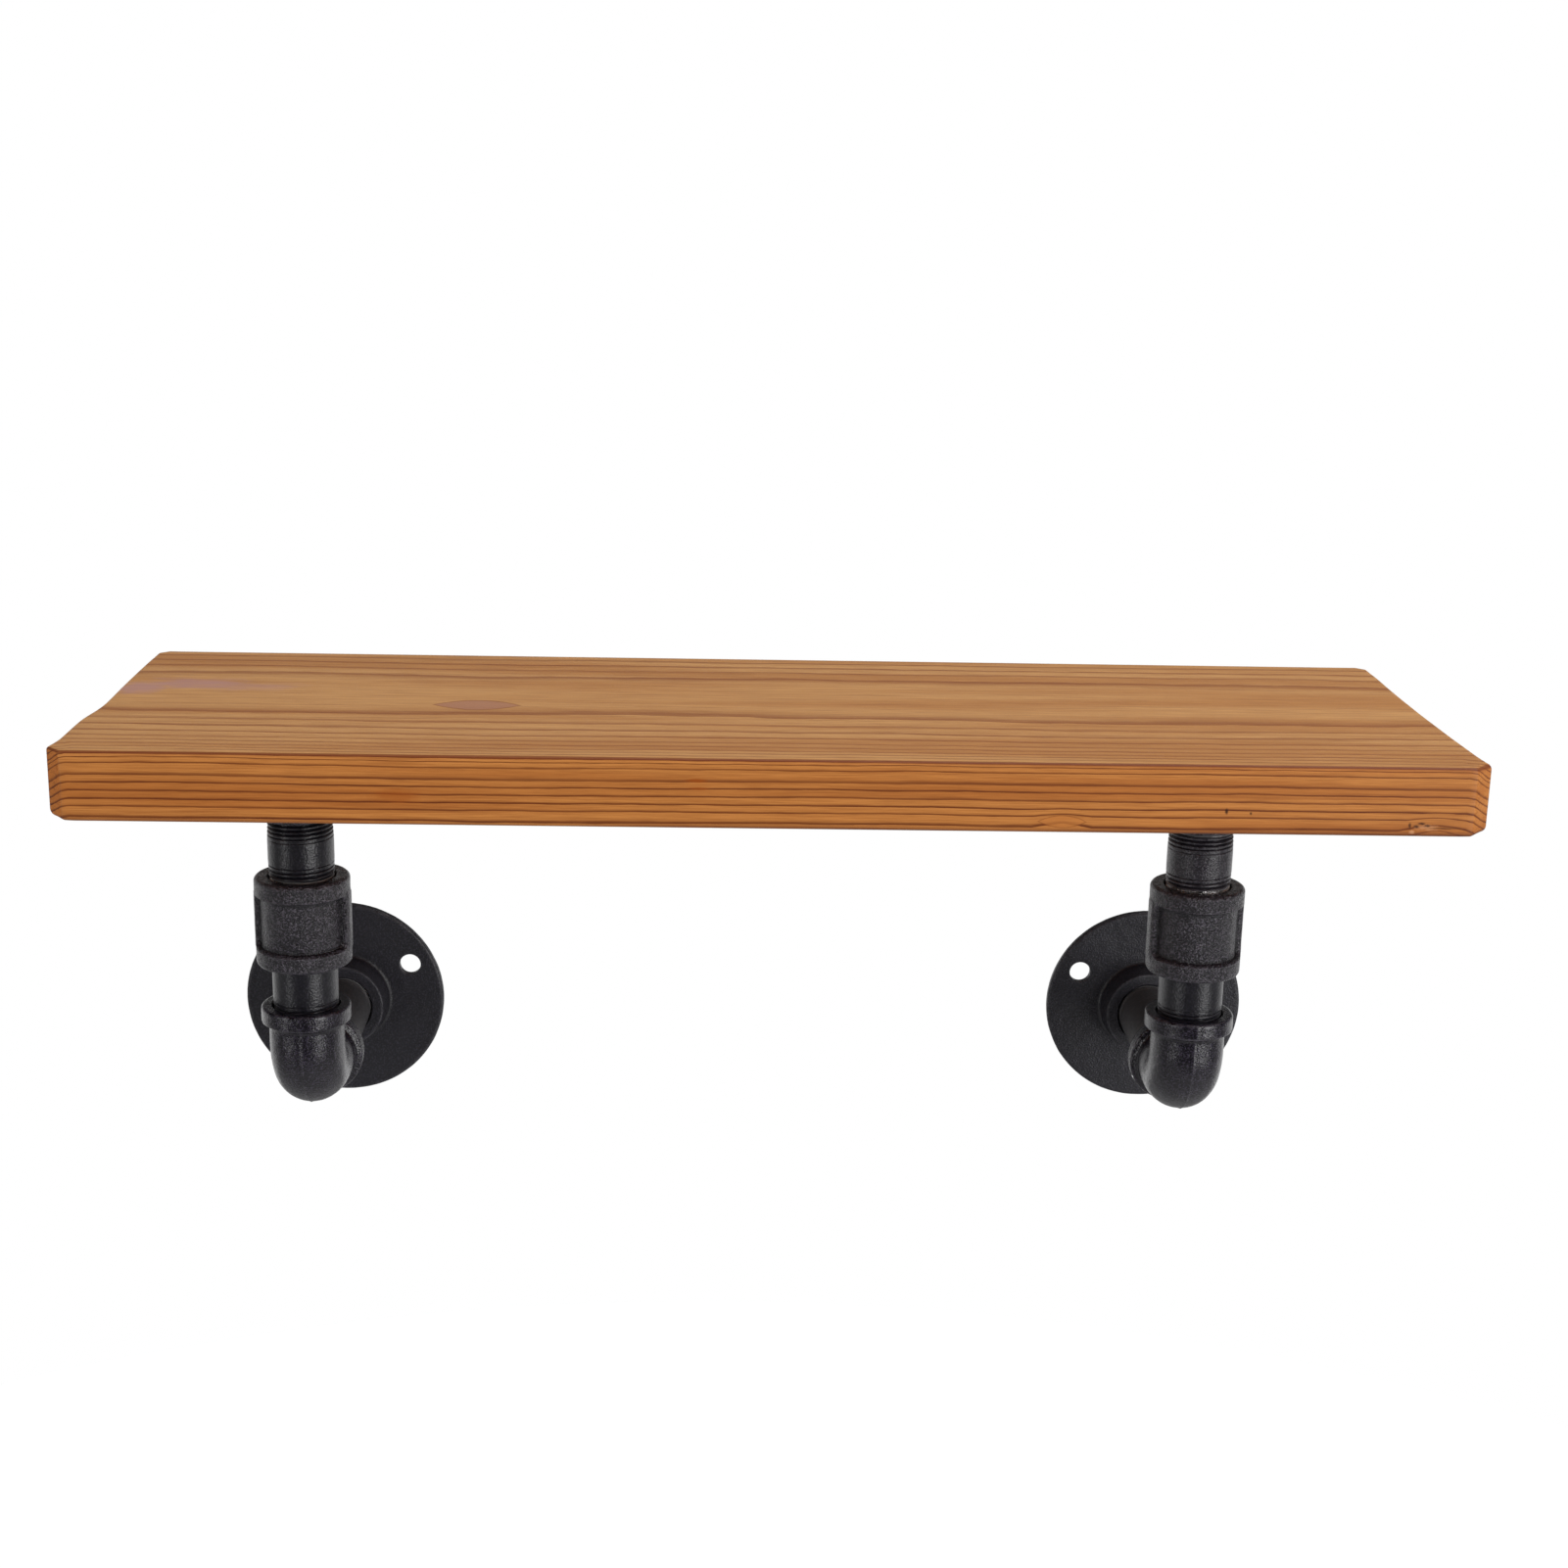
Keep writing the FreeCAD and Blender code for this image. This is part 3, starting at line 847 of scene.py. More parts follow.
# %% Coupling
COUPLING_BAND_RADIUS = 19.7
COUPLING_BODY_RADIUS = 17.3
COUPLING_BAND = 7.4
COUPLING_RIM = 1.8
COUPLING_BITES = (17.8, 15.2)   # how deep the sockets go, lower and upper
COUPLING_SLOPE = 1.5
RIB_TURN = {"left": -4.0, "right": 5.0}
RIB_HALF = math.radians(12)     # half of a rib's width
RIB_PROUD = 0.4                 # how far a rib stands out past the bands
RIB_SHOULDER = 1.5
PANEL_CORNER = 3.0
PANEL_WALL = 1.2                # width of the slope round a panel
ROUND_MOUTH = 1.0               # the face of a mouth stays round so far from its edge


def coupling(side):
    cad_node = f"{side}_coupling"
    height = solid_height(cad_node)
    lower, upper = COUPLING_BITES
    outline = walk([
        (COUPLING_BAND_RADIUS, 0, COUPLING_RIM),
        (COUPLING_BAND_RADIUS, height, COUPLING_RIM),
        *socket_from(height, upper, COUPLING_SLOPE),
        *socket_from(0, lower, COUPLING_SLOPE, way=1)[::-1],
    ], STEP)
    rib_turn = math.radians(RIB_TURN[side])

    def shape(radius, level, angle):
        past_side = (RIB_HALF - from_pair(angle, rib_turn)) * COUPLING_BODY_RADIUS
        past_end = np.abs(level - height / 2) - height / 2 + COUPLING_BAND
        across, along = past_side + PANEL_CORNER, past_end + PANEL_CORNER
        outside_panel = (
            np.hypot(np.maximum(across, 0), np.maximum(along, 0))
            + np.minimum(np.maximum(across, along), 0) - PANEL_CORNER
        )
        full_depth = COUPLING_BAND_RADIUS - COUPLING_BODY_RADIUS
        sunk = full_depth * (1 - soft_step(1 + outside_panel / PANEL_WALL))
        proud = RIB_PROUD * soft_step(past_side / RIB_SHOULDER) * (1 - soft_step(past_end / RIB_SHOULDER))
        outer_wall = radius > MOUTH_RADIUS + ROUND_MOUTH
        return np.where(outer_wall, radius - sunk + proud, radius)

    pattern = turned(cad_node, outline, COLUMNS, shape=shape)
    return cast(side, "coupling", pattern, foot_of(cad_node))


for side in SIDES:
    hand_over(coupling(side), f"{side}_coupling", "brackets")

# %% [markdown]
# ### Cap
# A cap is a short cup, mouth down, with a band round the mouth and a flat top whose edge is rounded.
# Two small upright ribs on its side give a wrench something to push. The inner roof is a turned skin
# too, so the outline starts and ends on the axis.

# %% Cap
CAP_BAND_RADIUS = 18.6
CAP_BODY_RADIUS = 16.1
CAP_TOP_RADIUS = 15.7
CAP_BAND = 6.2
CAP_ROUNDING = 2.6
CAP_INSIDE = 15.6       # depth of the hollow
CAP_BITE = 13.6
CAP_SLOPE = 1.0
CAP_POLE = 0.4          # the outline ends this close to the axis, and one point closes it
CAP_RIB_TURN = {"left": -81.0, "right": -16.0}
CAP_RIB_HALF = math.radians(9)
CAP_RIB_FILLET = math.radians(5)
CAP_RIB_RADIUS = 17.4   # how far out a rib reaches
CAP_RIB_SHOULDER = 5.0  # how far below the top it starts to slope in
CAP_RIB_END = 1.4       # how far below the top it ends


def cap(side):
    cad_node = f"{side}_cap"
    height = solid_height(cad_node)
    rib_turn = math.radians(CAP_RIB_TURN[side])
    outline = walk([
        (CAP_POLE, CAP_INSIDE, 0),
        (CORE_RADIUS, CAP_INSIDE, 0.5),
        *socket_from(0, CAP_BITE, CAP_SLOPE, way=1)[::-1],
        (CAP_BAND_RADIUS, 0, 1.2),
        (CAP_BAND_RADIUS, CAP_BAND, 0.9),
        (CAP_BODY_RADIUS, CAP_BAND + 0.8, 1.0),
        (CAP_TOP_RADIUS, height, CAP_ROUNDING),
        (CAP_POLE, height, 0),
    ], STEP, closed=False)

    def shape(radius, level, angle):
        past_rib = from_pair(angle, rib_turn) - CAP_RIB_HALF
        across = 1 - soft_step((past_rib + CAP_RIB_FILLET / 2) / CAP_RIB_FILLET)
        up = 1 - np.clip((level - height + CAP_RIB_SHOULDER) / (CAP_RIB_SHOULDER - CAP_RIB_END), 0, 1)
        short_of = np.clip(CAP_RIB_RADIUS - radius, 0, None)
        side_wall = (radius > CAP_TOP_RADIUS - CAP_ROUNDING) & (level > 0)
        return np.where(side_wall, radius + short_of * across * up, radius)

    pattern = turned(cad_node, outline, COLUMNS, looped=False, shape=shape)
    return cast(side, "cap", pattern, foot_of(cad_node))


for side in SIDES:
    hand_over(cap(side), f"{side}_cap", f"{side}_cap")

# %% [markdown]
# ### Elbow
# The elbow turns the pipe from level to upright. It is a skin of rings set along a path of two
# straight legs and a quarter circle. The radius of each ring depends on its distance from the nearer
# mouth, which makes the bands, and on the angle round the ring, which makes the thin raised seam where
# the two halves of the mould met.

# %% Elbow
ELBOW_REACH = 33.3
ELBOW_BEND = 16.7
ELBOW_LEG = ELBOW_REACH - ELBOW_BEND
ELBOW_BAND_RADIUS = 18.6
ELBOW_BODY_RADIUS = 15.6
ELBOW_BAND = 7.0
ELBOW_RIM = 1.4
ELBOW_BITES = {"arm": 13.8, "post": 16.0}
ELBOW_SLOPE = 0.6
ELBOW_COLUMNS = 144
SEAM_HEIGHT = 0.28
SEAM_HALF = 0.9
SEAM_START = 0.5        # the seam starts so far outside a mouth


def elbow_path(distance):
    """A point of the path, which lies in the YZ plane, and how far the path has turned there.

    distance runs from the wall's mouth to the post's.
    """
    quarter = ELBOW_BEND * math.pi / 2
    if distance <= ELBOW_LEG:
        return np.array((0, ELBOW_REACH - distance, 0)), 0.0
    if distance >= ELBOW_LEG + quarter:
        return np.array((0, 0, ELBOW_BEND + distance - ELBOW_LEG - quarter)), math.pi / 2
    turn = (distance - ELBOW_LEG) / ELBOW_BEND
    return ELBOW_BEND * np.array((0, 1 - math.sin(turn), 1 - math.cos(turn))), turn


def elbow(side):
    cad_node = f"{side}_elbow"
    low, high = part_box(cad_node)
    total = 2 * ELBOW_LEG + ELBOW_BEND * math.pi / 2
    arm_half = [
        (ELBOW_BAND_RADIUS, 0, ELBOW_RIM),
        (ELBOW_BAND_RADIUS, ELBOW_BAND, 0.9),
        (ELBOW_BODY_RADIUS, ELBOW_BAND + 1.2, 2.0),
        (ELBOW_BODY_RADIUS, ELBOW_LEG, 0),
    ]
    post_half = [
        (radius, total - distance, rounding) for radius, distance, rounding in arm_half[::-1]
    ]
    outline = walk([
        *arm_half,
        *post_half,
        *socket_from(total, ELBOW_BITES["post"], ELBOW_SLOPE),
        *socket_from(0, ELBOW_BITES["arm"], ELBOW_SLOPE, way=1)[::-1],
    ], STEP)
    round_the_ring = np.linspace(0, 2 * math.pi, ELBOW_COLUMNS, endpoint=False)
    from_seam = from_pair(round_the_ring, 0) * ELBOW_BODY_RADIUS
    ridge = SEAM_HEIGHT * (1 - soft_step(from_seam / SEAM_HALF))
    rings = []
    for radius, distance in outline:
        centre, turn = elbow_path(distance)
        out = np.array((0, -math.sin(turn), -math.cos(turn)))
        out_to = radius + ridge * (radius > MOUTH_RADIUS + SEAM_START)
        rings.append(
            centre
            + np.outer(out_to * np.cos(round_the_ring), out)
            + np.outer(out_to * np.sin(round_the_ring), (1, 0, 0))
        )
    pattern = skin(cad_node, np.array(rings) * MM, looped=True)
    reach = ELBOW_REACH * MM
    place = Matrix.Translation(((low.x + high.x) / 2, high.y - reach, high.z - reach))
    return cast(side, "elbow", pattern, place, elbow_black)


for side in SIDES:
    hand_over(elbow(side), f"{side}_elbow", "brackets")

# %% [markdown]
# ### Flange
# The flange is a round plate with a hub for the pipe and a tight fillet round the hub's foot. Three
# screw holes go through the plate. They are cut with a Boolean modifier, whose cutter flares at its
# ends so that each hole has the small bevel a drill leaves.

# %% Flange
FLANGE_RADIUS = 45.3
FLANGE_PLATE = 4.0
FLANGE_HUB_RADIUS = 19.2
FLANGE_HUB_FOOT = 20.4
FLANGE_BITE = 13.8
FLANGE_SLOPE = 0.8
HOLE_RADIUS = 4.8
HOLE_CIRCLE = 34.4
HOLE_ANGLES = (30, 150, 270)
FLANGE_TURN = {"left": -1.3, "right": 2.5}  # how far each flange is turned about the arm
HOLE_BEVEL = 0.5
HOLE_SIDES = 48
CUTTER_BELOW = 1.0  # how far a cutter stands out of the plate at either side
CUTTER_ABOVE = 1.5
CUTTER_POLE = 0.2
CUTTER_STEP = 50.0  # longer than any side of a cutter, so its outline gets no points between its corners


def hole_cutters(side):
    """Three short bars through the plate, each wider at both ends."""
    outline = walk([
        (CUTTER_POLE, -CUTTER_BELOW, 0),
        (HOLE_RADIUS + HOLE_BEVEL + CUTTER_BELOW, -CUTTER_BELOW, 0),
        (HOLE_RADIUS, HOLE_BEVEL, 0),
        (HOLE_RADIUS, FLANGE_PLATE - HOLE_BEVEL, 0),
        (HOLE_RADIUS + HOLE_BEVEL + CUTTER_ABOVE, FLANGE_PLATE + CUTTER_ABOVE, 0),
        (CUTTER_POLE, FLANGE_PLATE + CUTTER_ABOVE, 0),
    ], CUTTER_STEP, closed=False)
    cutters = []
    for number, angle in enumerate(HOLE_ANGLES):
        bar = turned(f"hole {number}", outline, HOLE_SIDES, looped=False)
        turn = math.radians(angle + FLANGE_TURN[side])
        centre = (HOLE_CIRCLE * MM * math.cos(turn), HOLE_CIRCLE * MM * math.sin(turn), 0)
        bar.transform(Matrix.Translation(centre))
        cutters.append(add_object(f"hole {number}", bar))
    return cutters


def flange(side):
    cad_node = f"{side}_wall_flange"
    low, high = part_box(cad_node)
    height = (high.y - low.y) / MM
    outline = walk([
        (FLANGE_RADIUS, 0, 0.5),
        (FLANGE_RADIUS, FLANGE_PLATE, 1.4),
        (FLANGE_HUB_FOOT, FLANGE_PLATE, 1.6),
        (FLANGE_HUB_RADIUS, height, 0.8),
        *socket_from(height, FLANGE_BITE, FLANGE_SLOPE),
        (CORE_RADIUS, 0, 0),
    ], STEP)
    pattern = turned(cad_node, outline, COLUMNS)
    made = cast(side, "wall_flange", pattern, Matrix.Identity(4), plate_black)
    cutters = hole_cutters(side)
    for cutter in cutters:
        cut = made.modifiers.new("hole", "BOOLEAN")
        cut.operation = "DIFFERENCE"
        cut.solver = "EXACT"
        cut.object = cutter
    depsgraph = bpy.context.evaluated_depsgraph_get()
    drilled = bpy.data.meshes.new_from_object(made.evaluated_get(depsgraph))
    made.modifiers.clear()
    made.data = drilled
    drilled.name = made.name
    drilled.set_sharp_from_angle(angle=CREASE)
    drilled.transform(Matrix.Translation(((low.x + high.x) / 2, high.y, 0)) @ LAID_BACK)
    for cutter in cutters:
        bpy.data.objects.remove(cutter)
    return made


for side in SIDES:
    hand_over(flange(side), f"{side}_wall_flange", "brackets")

# %% [markdown]
# ## Pine
# Wood isn't a picture on a surface: it is a solid grown in rings round the tree's heart. This board
# was sawn well outside the heart, which lay above it. So the material works out how far each point of
# the board is from that line, and draws a ring for every few millimetres of that distance. The long
# streaks on top, the close lines on the front and the arcs on the ends then agree with each other, as
# they do on real wood. Noise that is stretched along the board makes the rings wander and lays fine
# fibres over them.

# %% Growth rings
board_low, board_high = (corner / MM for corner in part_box("shelf_board"))
HEART_BEHIND_FRONT = 104.0
HEART_ABOVE_TOP = 200.0
# Where the yearly lines come out, in millimetres from the front upper edge: back along the top, and
# down the front. Wet years leave wide rings and dry ones narrow rings.
TOP_LINES = (66, 53, 42, 32, 24, 17.5, 12, 7.5, 3.5)
FRONT_LINES = (0.9, 2.3, 4.5, 9.2, 12.0, 15.1, 18.2, 21.0, 25.3, 28.0)
INNERMOST = 199.4


def ring_radius(back, down):
    """The distance from the heart to a point so far behind the front and below the top."""
    return math.hypot(HEART_BEHIND_FRONT - back, HEART_ABOVE_TOP + down)


RING_RADII = [
    INNERMOST,
    *(ring_radius(back, 0) for back in TOP_LINES),
    *(ring_radius(0, down) for down in FRONT_LINES),
]
YEARS = len(RING_RADII) - 1
FINE_RIPPLE = 0.35


def streaks(vector, scale, detail, roughness=0.5):
    """Noise that changes so many times a millimetre along, across and up."""
    stretched = node(vector.id_data, "ShaderNodeMapping", {
        "Vector": vector, "Scale": scale,
    }, vector_type="POINT").outputs[0]
    return noise(stretched, 1.0, detail=detail, roughness=roughness)


def off_axis(vector):
    """The length of a vector without what lies along X, the way the tree grew."""
    flat = vector_maths("MULTIPLY", vector, (0.0, 1.0, 1.0))
    return vector_maths("LENGTH", flat, output="Value")


def ring_group():
    """Growth rings round a heart that runs along X. Positions and sizes are in millimetres."""
    group, given = new_tree(
        "growth rings", "ShaderNodeTree",
        {"Position": ORIGIN, "Heart": ORIGIN, "Wander": 2.4, "Ripple": 1.0, "Push": 0.0},
        {"Latewood": 0.0, "Line": 0.0},
    )
    radius = off_axis(vector_maths("SUBTRACT", given["Position"], given["Heart"]))
    for scale, detail, height in (
        ((0.006, 0.012, 0.012), 1.0, given["Wander"]),
        ((0.03, 0.05, 0.10), 2.0, given["Ripple"]),
        ((0.10, 0.7, 1.1), 1.0, FINE_RIPPLE),
    ):
        waves = maths("SUBTRACT", streaks(given["Position"], scale, detail), 0.5)
        radius = maths("MULTIPLY_ADD", waves, height, radius)
    radius = maths("ADD", radius, given["Push"])

    # a curve of straight pieces turns the distance into years: steep where the rings are narrow
    first, last = RING_RADII[0], RING_RADII[-1]
    share = maths("DIVIDE", maths("SUBTRACT", radius, first), last - first)
    curve = node(group, "ShaderNodeFloatCurve", {"Value": share})
    points = curve.mapping.curves[0].points
    for number, ring in enumerate(RING_RADII[1:-1], start=1):
        points.new((ring - first) / (last - first), number / YEARS)
    for point in points:
        point.handle_type = "VECTOR"
    curve.mapping.update()
    years = maths("MULTIPLY", curve.outputs[0], YEARS)

    season = maths("FRACT", years)
    year = maths("FLOOR", maths("ADD", years, 0.001))
    latewood = ramp(season, (0.0, 0.25), (0.06, 0.0), (0.5, 0.0), (0.78, 0.4), (0.92, 1.0), (1.0, 1.0))
    line = ramp(season, (0.0, 0.5), (0.035, 0.0), (0.70, 0.0), (0.86, 0.8), (0.91, 1.0), (1.0, 1.0))
    # no two years are equally dark
    strength = node(group, "ShaderNodeTexWhiteNoise", {"W": year}, noise_dimensions="1D").outputs["Value"]
    strength = maths("MULTIPLY_ADD", strength, 0.3, 0.7)
    node(group, "NodeGroupOutput", {
        "Latewood": maths("MULTIPLY", latewood, strength), "Line": maths("MULTIPLY", line, strength),
    })
    return group


growth_rings = ring_group()
print("rings from the heart outwards:", [round(r, 1) for r in RING_RADII])

# %% Soft marks
def mark_group():
    """A soft-edged spot with a ragged outline: 1 in its middle and 0 outside.

    Pointed turns it from an ellipse, at 0, into a lens whose tips lie along X, at 1.
    """
    group, given = new_tree(
        "soft mark", "ShaderNodeTree",
        {"Position": ORIGIN, "Centre": ORIGIN, "Size": (1.0, 1.0, 1.0),
         "Raggedness": 0.5, "Softness": 0.6, "Pointed": 0.0},
        {"Mark": 0.0},
    )
    share = vector_maths("SUBTRACT", given["Position"], given["Centre"])
    share = vector_maths("DIVIDE", share, given["Size"])
    ellipse = vector_maths("LENGTH", share, output="Value")
    along = parts_of(share)["X"]
    lens = maths("MULTIPLY_ADD", along, along, off_axis(share))
    distance = maths("MULTIPLY_ADD", maths("SUBTRACT", lens, ellipse), given["Pointed"], ellipse)
    ragged = noise(share, 1.7, detail=3.0)
    distance = maths("MULTIPLY_ADD", maths("SUBTRACT", ragged, 0.5), given["Raggedness"], distance)
    inside = maths("DIVIDE", maths("SUBTRACT", 1.0, distance), given["Softness"], use_clamp=True)
    node(group, "NodeGroupOutput", {"Mark": inside})
    return group


soft_mark = mark_group()

# %% Colours of the wood
PALE_PINE = srgb(194, 126, 63)
DEEP_PINE = srgb(179, 109, 50)
LATEWOOD = srgb(133, 71, 30)
RING_LINE = srgb(92, 40, 14)
TOP_SHEEN_LINE = srgb(140, 82, 50)
FRESH_CUT = srgb(222, 132, 58)
END_GRAIN = srgb(128, 68, 28)
MAUVE = srgb(170, 118, 96)
LAVENDER = srgb(176, 132, 136)
AMBER = srgb(190, 118, 56)
RESIN = srgb(150, 72, 16)
BARK = srgb(48, 24, 14)
SPLINTER = srgb(208, 148, 100)
LOWER_EDGE_SHADE = srgb(92, 50, 38)
UPPER_EDGE = srgb(104, 48, 24)
TOP_SHEEN_TINT = (1.18, 1.60, 2.55)  # painted sheen: the top is made paler and less red than the front

# %% [markdown]
# Each mark below has its centre in millimetres: along the board from the middle between the brackets,
# behind its front and below its top. Its half sizes follow, then its colour.

# %% Marks on the wood
# a pale smear on top, resin and two specks on the front, and the torn knot low down at its right end;
# the last two numbers say how strong the colour is and how ragged the outline
MARKS = (
    ((-254, 107, 0), (15, 12, 3), LAVENDER, 0.6, 1.2),
    ((-234, 118, 0), (26, 11, 3), LAVENDER, 0.55, 1.6),
    ((-210, 113, 0), (28, 8, 3), LAVENDER, 0.35, 2.0),
    ((-134, 0, 15.9), (11, 3, 3.4), RESIN, 0.5, 0.8),
    ((-23, 0, 8.5), (5, 3, 1.0), RESIN, 0.8, 0.8),
    ((-22, 0, 11.6), (5, 3, 0.8), RESIN, 0.6, 0.8),
    ((175.6, 0, 17.9), (0.8, 3, 1.5), BARK, 0.9, 0.4),
    ((184.8, 0, 18.6), (0.6, 3, 0.8), BARK, 0.8, 0.4),
    ((252, 0, 23.4), (5, 4, 1.4), SPLINTER, 0.6, 1.6),
    ((245.3, 0, 22.6), (0.7, 3, 1.4), BARK, 0.8, 1.2),
    ((247.8, 0, 22.9), (1.3, 3, 0.7), BARK, 0.8, 1.4),
    ((249.8, 0, 21.8), (1.8, 3, 0.6), BARK, 0.9, 1.4),
    ((252, 0, 22.6), (1.4, 3, 0.7), BARK, 0.8, 1.4),
    ((246.3, 0, 25.2), (1.3, 3, 1.0), SPLINTER, 1.0, 1.0),
    ((258, 0, 23.6), (7, 3, 0.5), BARK, 0.6, 1.8),
)
# two old knots that healed over, one on top and one low on the front: they look like eyes
EYES = (
    ((-112.5, 84, 0), (18.5, 9.5, 8), MAUVE, 0.75),
    ((114, 0, 22.6), (9.6, 3, 2.6), AMBER, 0.6),
)
# the wood swells round a knot and lifts the lines there by the last number, and at the planed corners
# the lines dip
SWELLINGS = (
    ((114, 0, 23), (12, 25, 6), 1.8),
    ((256, 0, 26), (15, 25, 9), 3.4),
    ((-263.6, 5, 13.5), (10, 12, 60), -2.0),
    ((277.4, 6, 13.5), (12, 14, 60), -2.0),
)


def on_board(along, back, down):
    """A place given from the front upper edge, in the object's own coordinates."""
    return (along, board_low.y + back, board_high.z - down)


# %% [markdown]
# ### From rings to a finish
# The material is put together in short steps. The first gathers what the others draw on: the rings,
# pushed out round the knots, and streaks of three widths.

# %% Rings and streaks
pine, tree, position = material("oiled pine")


def mark(centre, half_sizes, raggedness=0.5, softness=0.6, pointed=0.0):
    """1 inside a mark on the board and 0 outside it."""
    return place_group(tree, soft_mark, {
        "Position": position, "Centre": on_board(*centre), "Size": half_sizes,
        "Raggedness": raggedness, "Softness": softness, "Pointed": pointed,
    })["Mark"]


push = 0.0
for centre, half_sizes, height in SWELLINGS:
    swell = mark(centre, half_sizes, raggedness=0.1, softness=1.0)
    push = maths("MULTIPLY_ADD", swell, height, push)
rings = place_group(tree, growth_rings, {
    "Position": position,
    "Heart": on_board(0.0, HEART_BEHIND_FRONT, -HEART_ABOVE_TOP),
    "Push": push,
})
fibre = streaks(position, (0.05, 2.2, 2.2), 4.0, roughness=0.65)
broad = streaks(position, (0.004, 0.045, 0.12), 2.0)
thread = streaks(position, (0.012, 0.5, 0.7), 3.0)

# %% [markdown]
# A planed corner cuts across the grain and drinks more oil than the front. The top gets painted sheen:
# it is made paler and less red and its lines show less, as the room it mirrors at a low angle makes
# it look. So the way a surface faces decides how it looks.

# %% Which way the surface faces
facing = parts_of(node(tree, "ShaderNodeTexCoord").outputs["Normal"])
sideways = maths("ABSOLUTE", facing["X"])
to_left = maths("MULTIPLY", facing["X"], -1.0)
forward = maths("MULTIPLY", facing["Y"], -1.0)
sheen_on_top = ramp(facing["Z"], (0.5, 0.0), (0.95, 1.0))
cut_across = ramp(sideways, (0.4, 0.0), (0.6, 1.0))
end_grain = ramp(sideways, (0.75, 0.0), (0.95, 0.5))
fresh = ramp(to_left, (0.4, 0.0), (0.6, 0.8), (0.8, 0.8), (0.95, 0.0))
# painted sheen: the growth lines show less on the top; they also show less in some threads
clear = ramp(facing["Z"], (0.5, 1.0), (0.95, 0.55))
clear = maths("MULTIPLY", clear, ramp(thread, (0.3, 0.7), (0.6, 1.0)))

# %% Colour of the wood
colour = mix(ramp(broad, (0.38, 0.0), (0.66, 1.0)), PALE_PINE, DEEP_PINE)
colour = mix(fresh, colour, FRESH_CUT)
colour = mix(end_grain, colour, END_GRAIN)
# painted sheen: the top is made paler and less red
colour = mix(sheen_on_top, colour, TOP_SHEEN_TINT, blend="MULTIPLY")
colour = mix(ramp(thread, (0.52, 0.0), (0.72, 0.35)), colour, LATEWOOD)
colour = mix(maths("MULTIPLY", rings["Latewood"], 0.5), colour, LATEWOOD)
# painted sheen: the growth lines on the top are paler
line_colour_with_sheen = mix(sheen_on_top, RING_LINE, TOP_SHEEN_LINE)
colour = mix(maths("MULTIPLY", rings["Line"], clear), colour, line_colour_with_sheen)
colour = mix(ramp(fibre, (0.35, 0.38), (0.62, 0.0)), colour, LATEWOOD)

for centre, half_sizes, tint, strength in EYES:
    eye = mark(centre, half_sizes, raggedness=0.2, softness=0.5, pointed=1.0)
    colour = mix(ramp(eye, (0.1, 0.0), (0.5, strength)), colour, tint)
    colour = mix(ramp(eye, (0.0, 0.0), (0.2, 0.6), (0.5, 0.0)), colour, LATEWOOD)
for centre, half_sizes, tint, strength, raggedness in MARKS:
    spot = mark(centre, half_sizes, raggedness=raggedness)
    colour = mix(maths("MULTIPLY", spot, strength), colour, tint)

# %% [markdown]
# The front edges are darker. The upper one is darker along its rounding only. Along the lower one, and
# for two millimetres above it too, shade is painted in, more in some places than in others.

# %% Darker front edges, with painted shade along the lower one
SHADE_TOP = 2.2    # how far up the painted shade along the lower edge reaches
SHADE_FADE = 1.6

rounding = maths("MINIMUM", facing["Z"], forward)
colour = mix(ramp(rounding, (0.15, 0.0), (0.45, 0.8)), colour, UPPER_EDGE)
below_top = maths("SUBTRACT", board_low.z + SHADE_TOP, parts_of(position)["Z"])
lower_shade = maths("DIVIDE", below_top, SHADE_FADE, use_clamp=True)
lower_shade = maths("MULTIPLY", lower_shade, ramp(forward, (0.1, 0.0), (0.5, 1.0)))
lower_shade = maths("MULTIPLY", lower_shade, ramp(broad, (0.35, 0.15), (0.6, 0.75)))
# painted shade along the lower front edge and just above it
colour = mix(lower_shade, colour, LOWER_EDGE_SHADE)

# %% Oiled surface
OILED_ROUGHNESS = 0.32
FIBRE_ROUGHNESS = 0.2     # how much rougher the palest fibre is
PLANED_ROUGHNESS = 0.25   # and a planed corner
OIL_SHINE = 0.2
RELIEF = 0.05             # the height of a fibre, in millimetres
LINE_HEIGHT = 0.4         # how high a growth line stands, against a fibre

roughness = maths("MULTIPLY_ADD", fibre, FIBRE_ROUGHNESS, OILED_ROUGHNESS)
roughness = maths("MULTIPLY_ADD", cut_across, PLANED_ROUGHNESS, roughness)
coated_surface(tree, maths("MULTIPLY_ADD", rings["Line"], LINE_HEIGHT, fibre), RELIEF, {
    "Base Color": colour, "Roughness": roughness, "Specular IOR Level": OIL_SHINE,
})
print("the pine is made of", len(tree.nodes), "nodes")

# %% [markdown]
# ## Board
# The board is a plank with its four upright corners planed off and every other edge eased. A plane
# held by hand leaves the ends a little hollow, and rounds the tips of the front corners more than the
# rest. The skin is built from rings: each ring is the plank's outline seen from above, drawn in towards
# the top and the bottom by the rounding.

# %% Board seen from above
LEFT_CORNER = 6.2      # how much is planed off the front corners
RIGHT_CORNER = 8.0
BACK_CORNER = 4.0
CORNER_ROUNDING = 1.2
BOARD_STEP = 2.0
HOLLOW_RUN = 12.0      # the hollow of an end runs out so far along the front and the back
AVERAGED = 5           # neighbouring points over which the hollow is smoothed
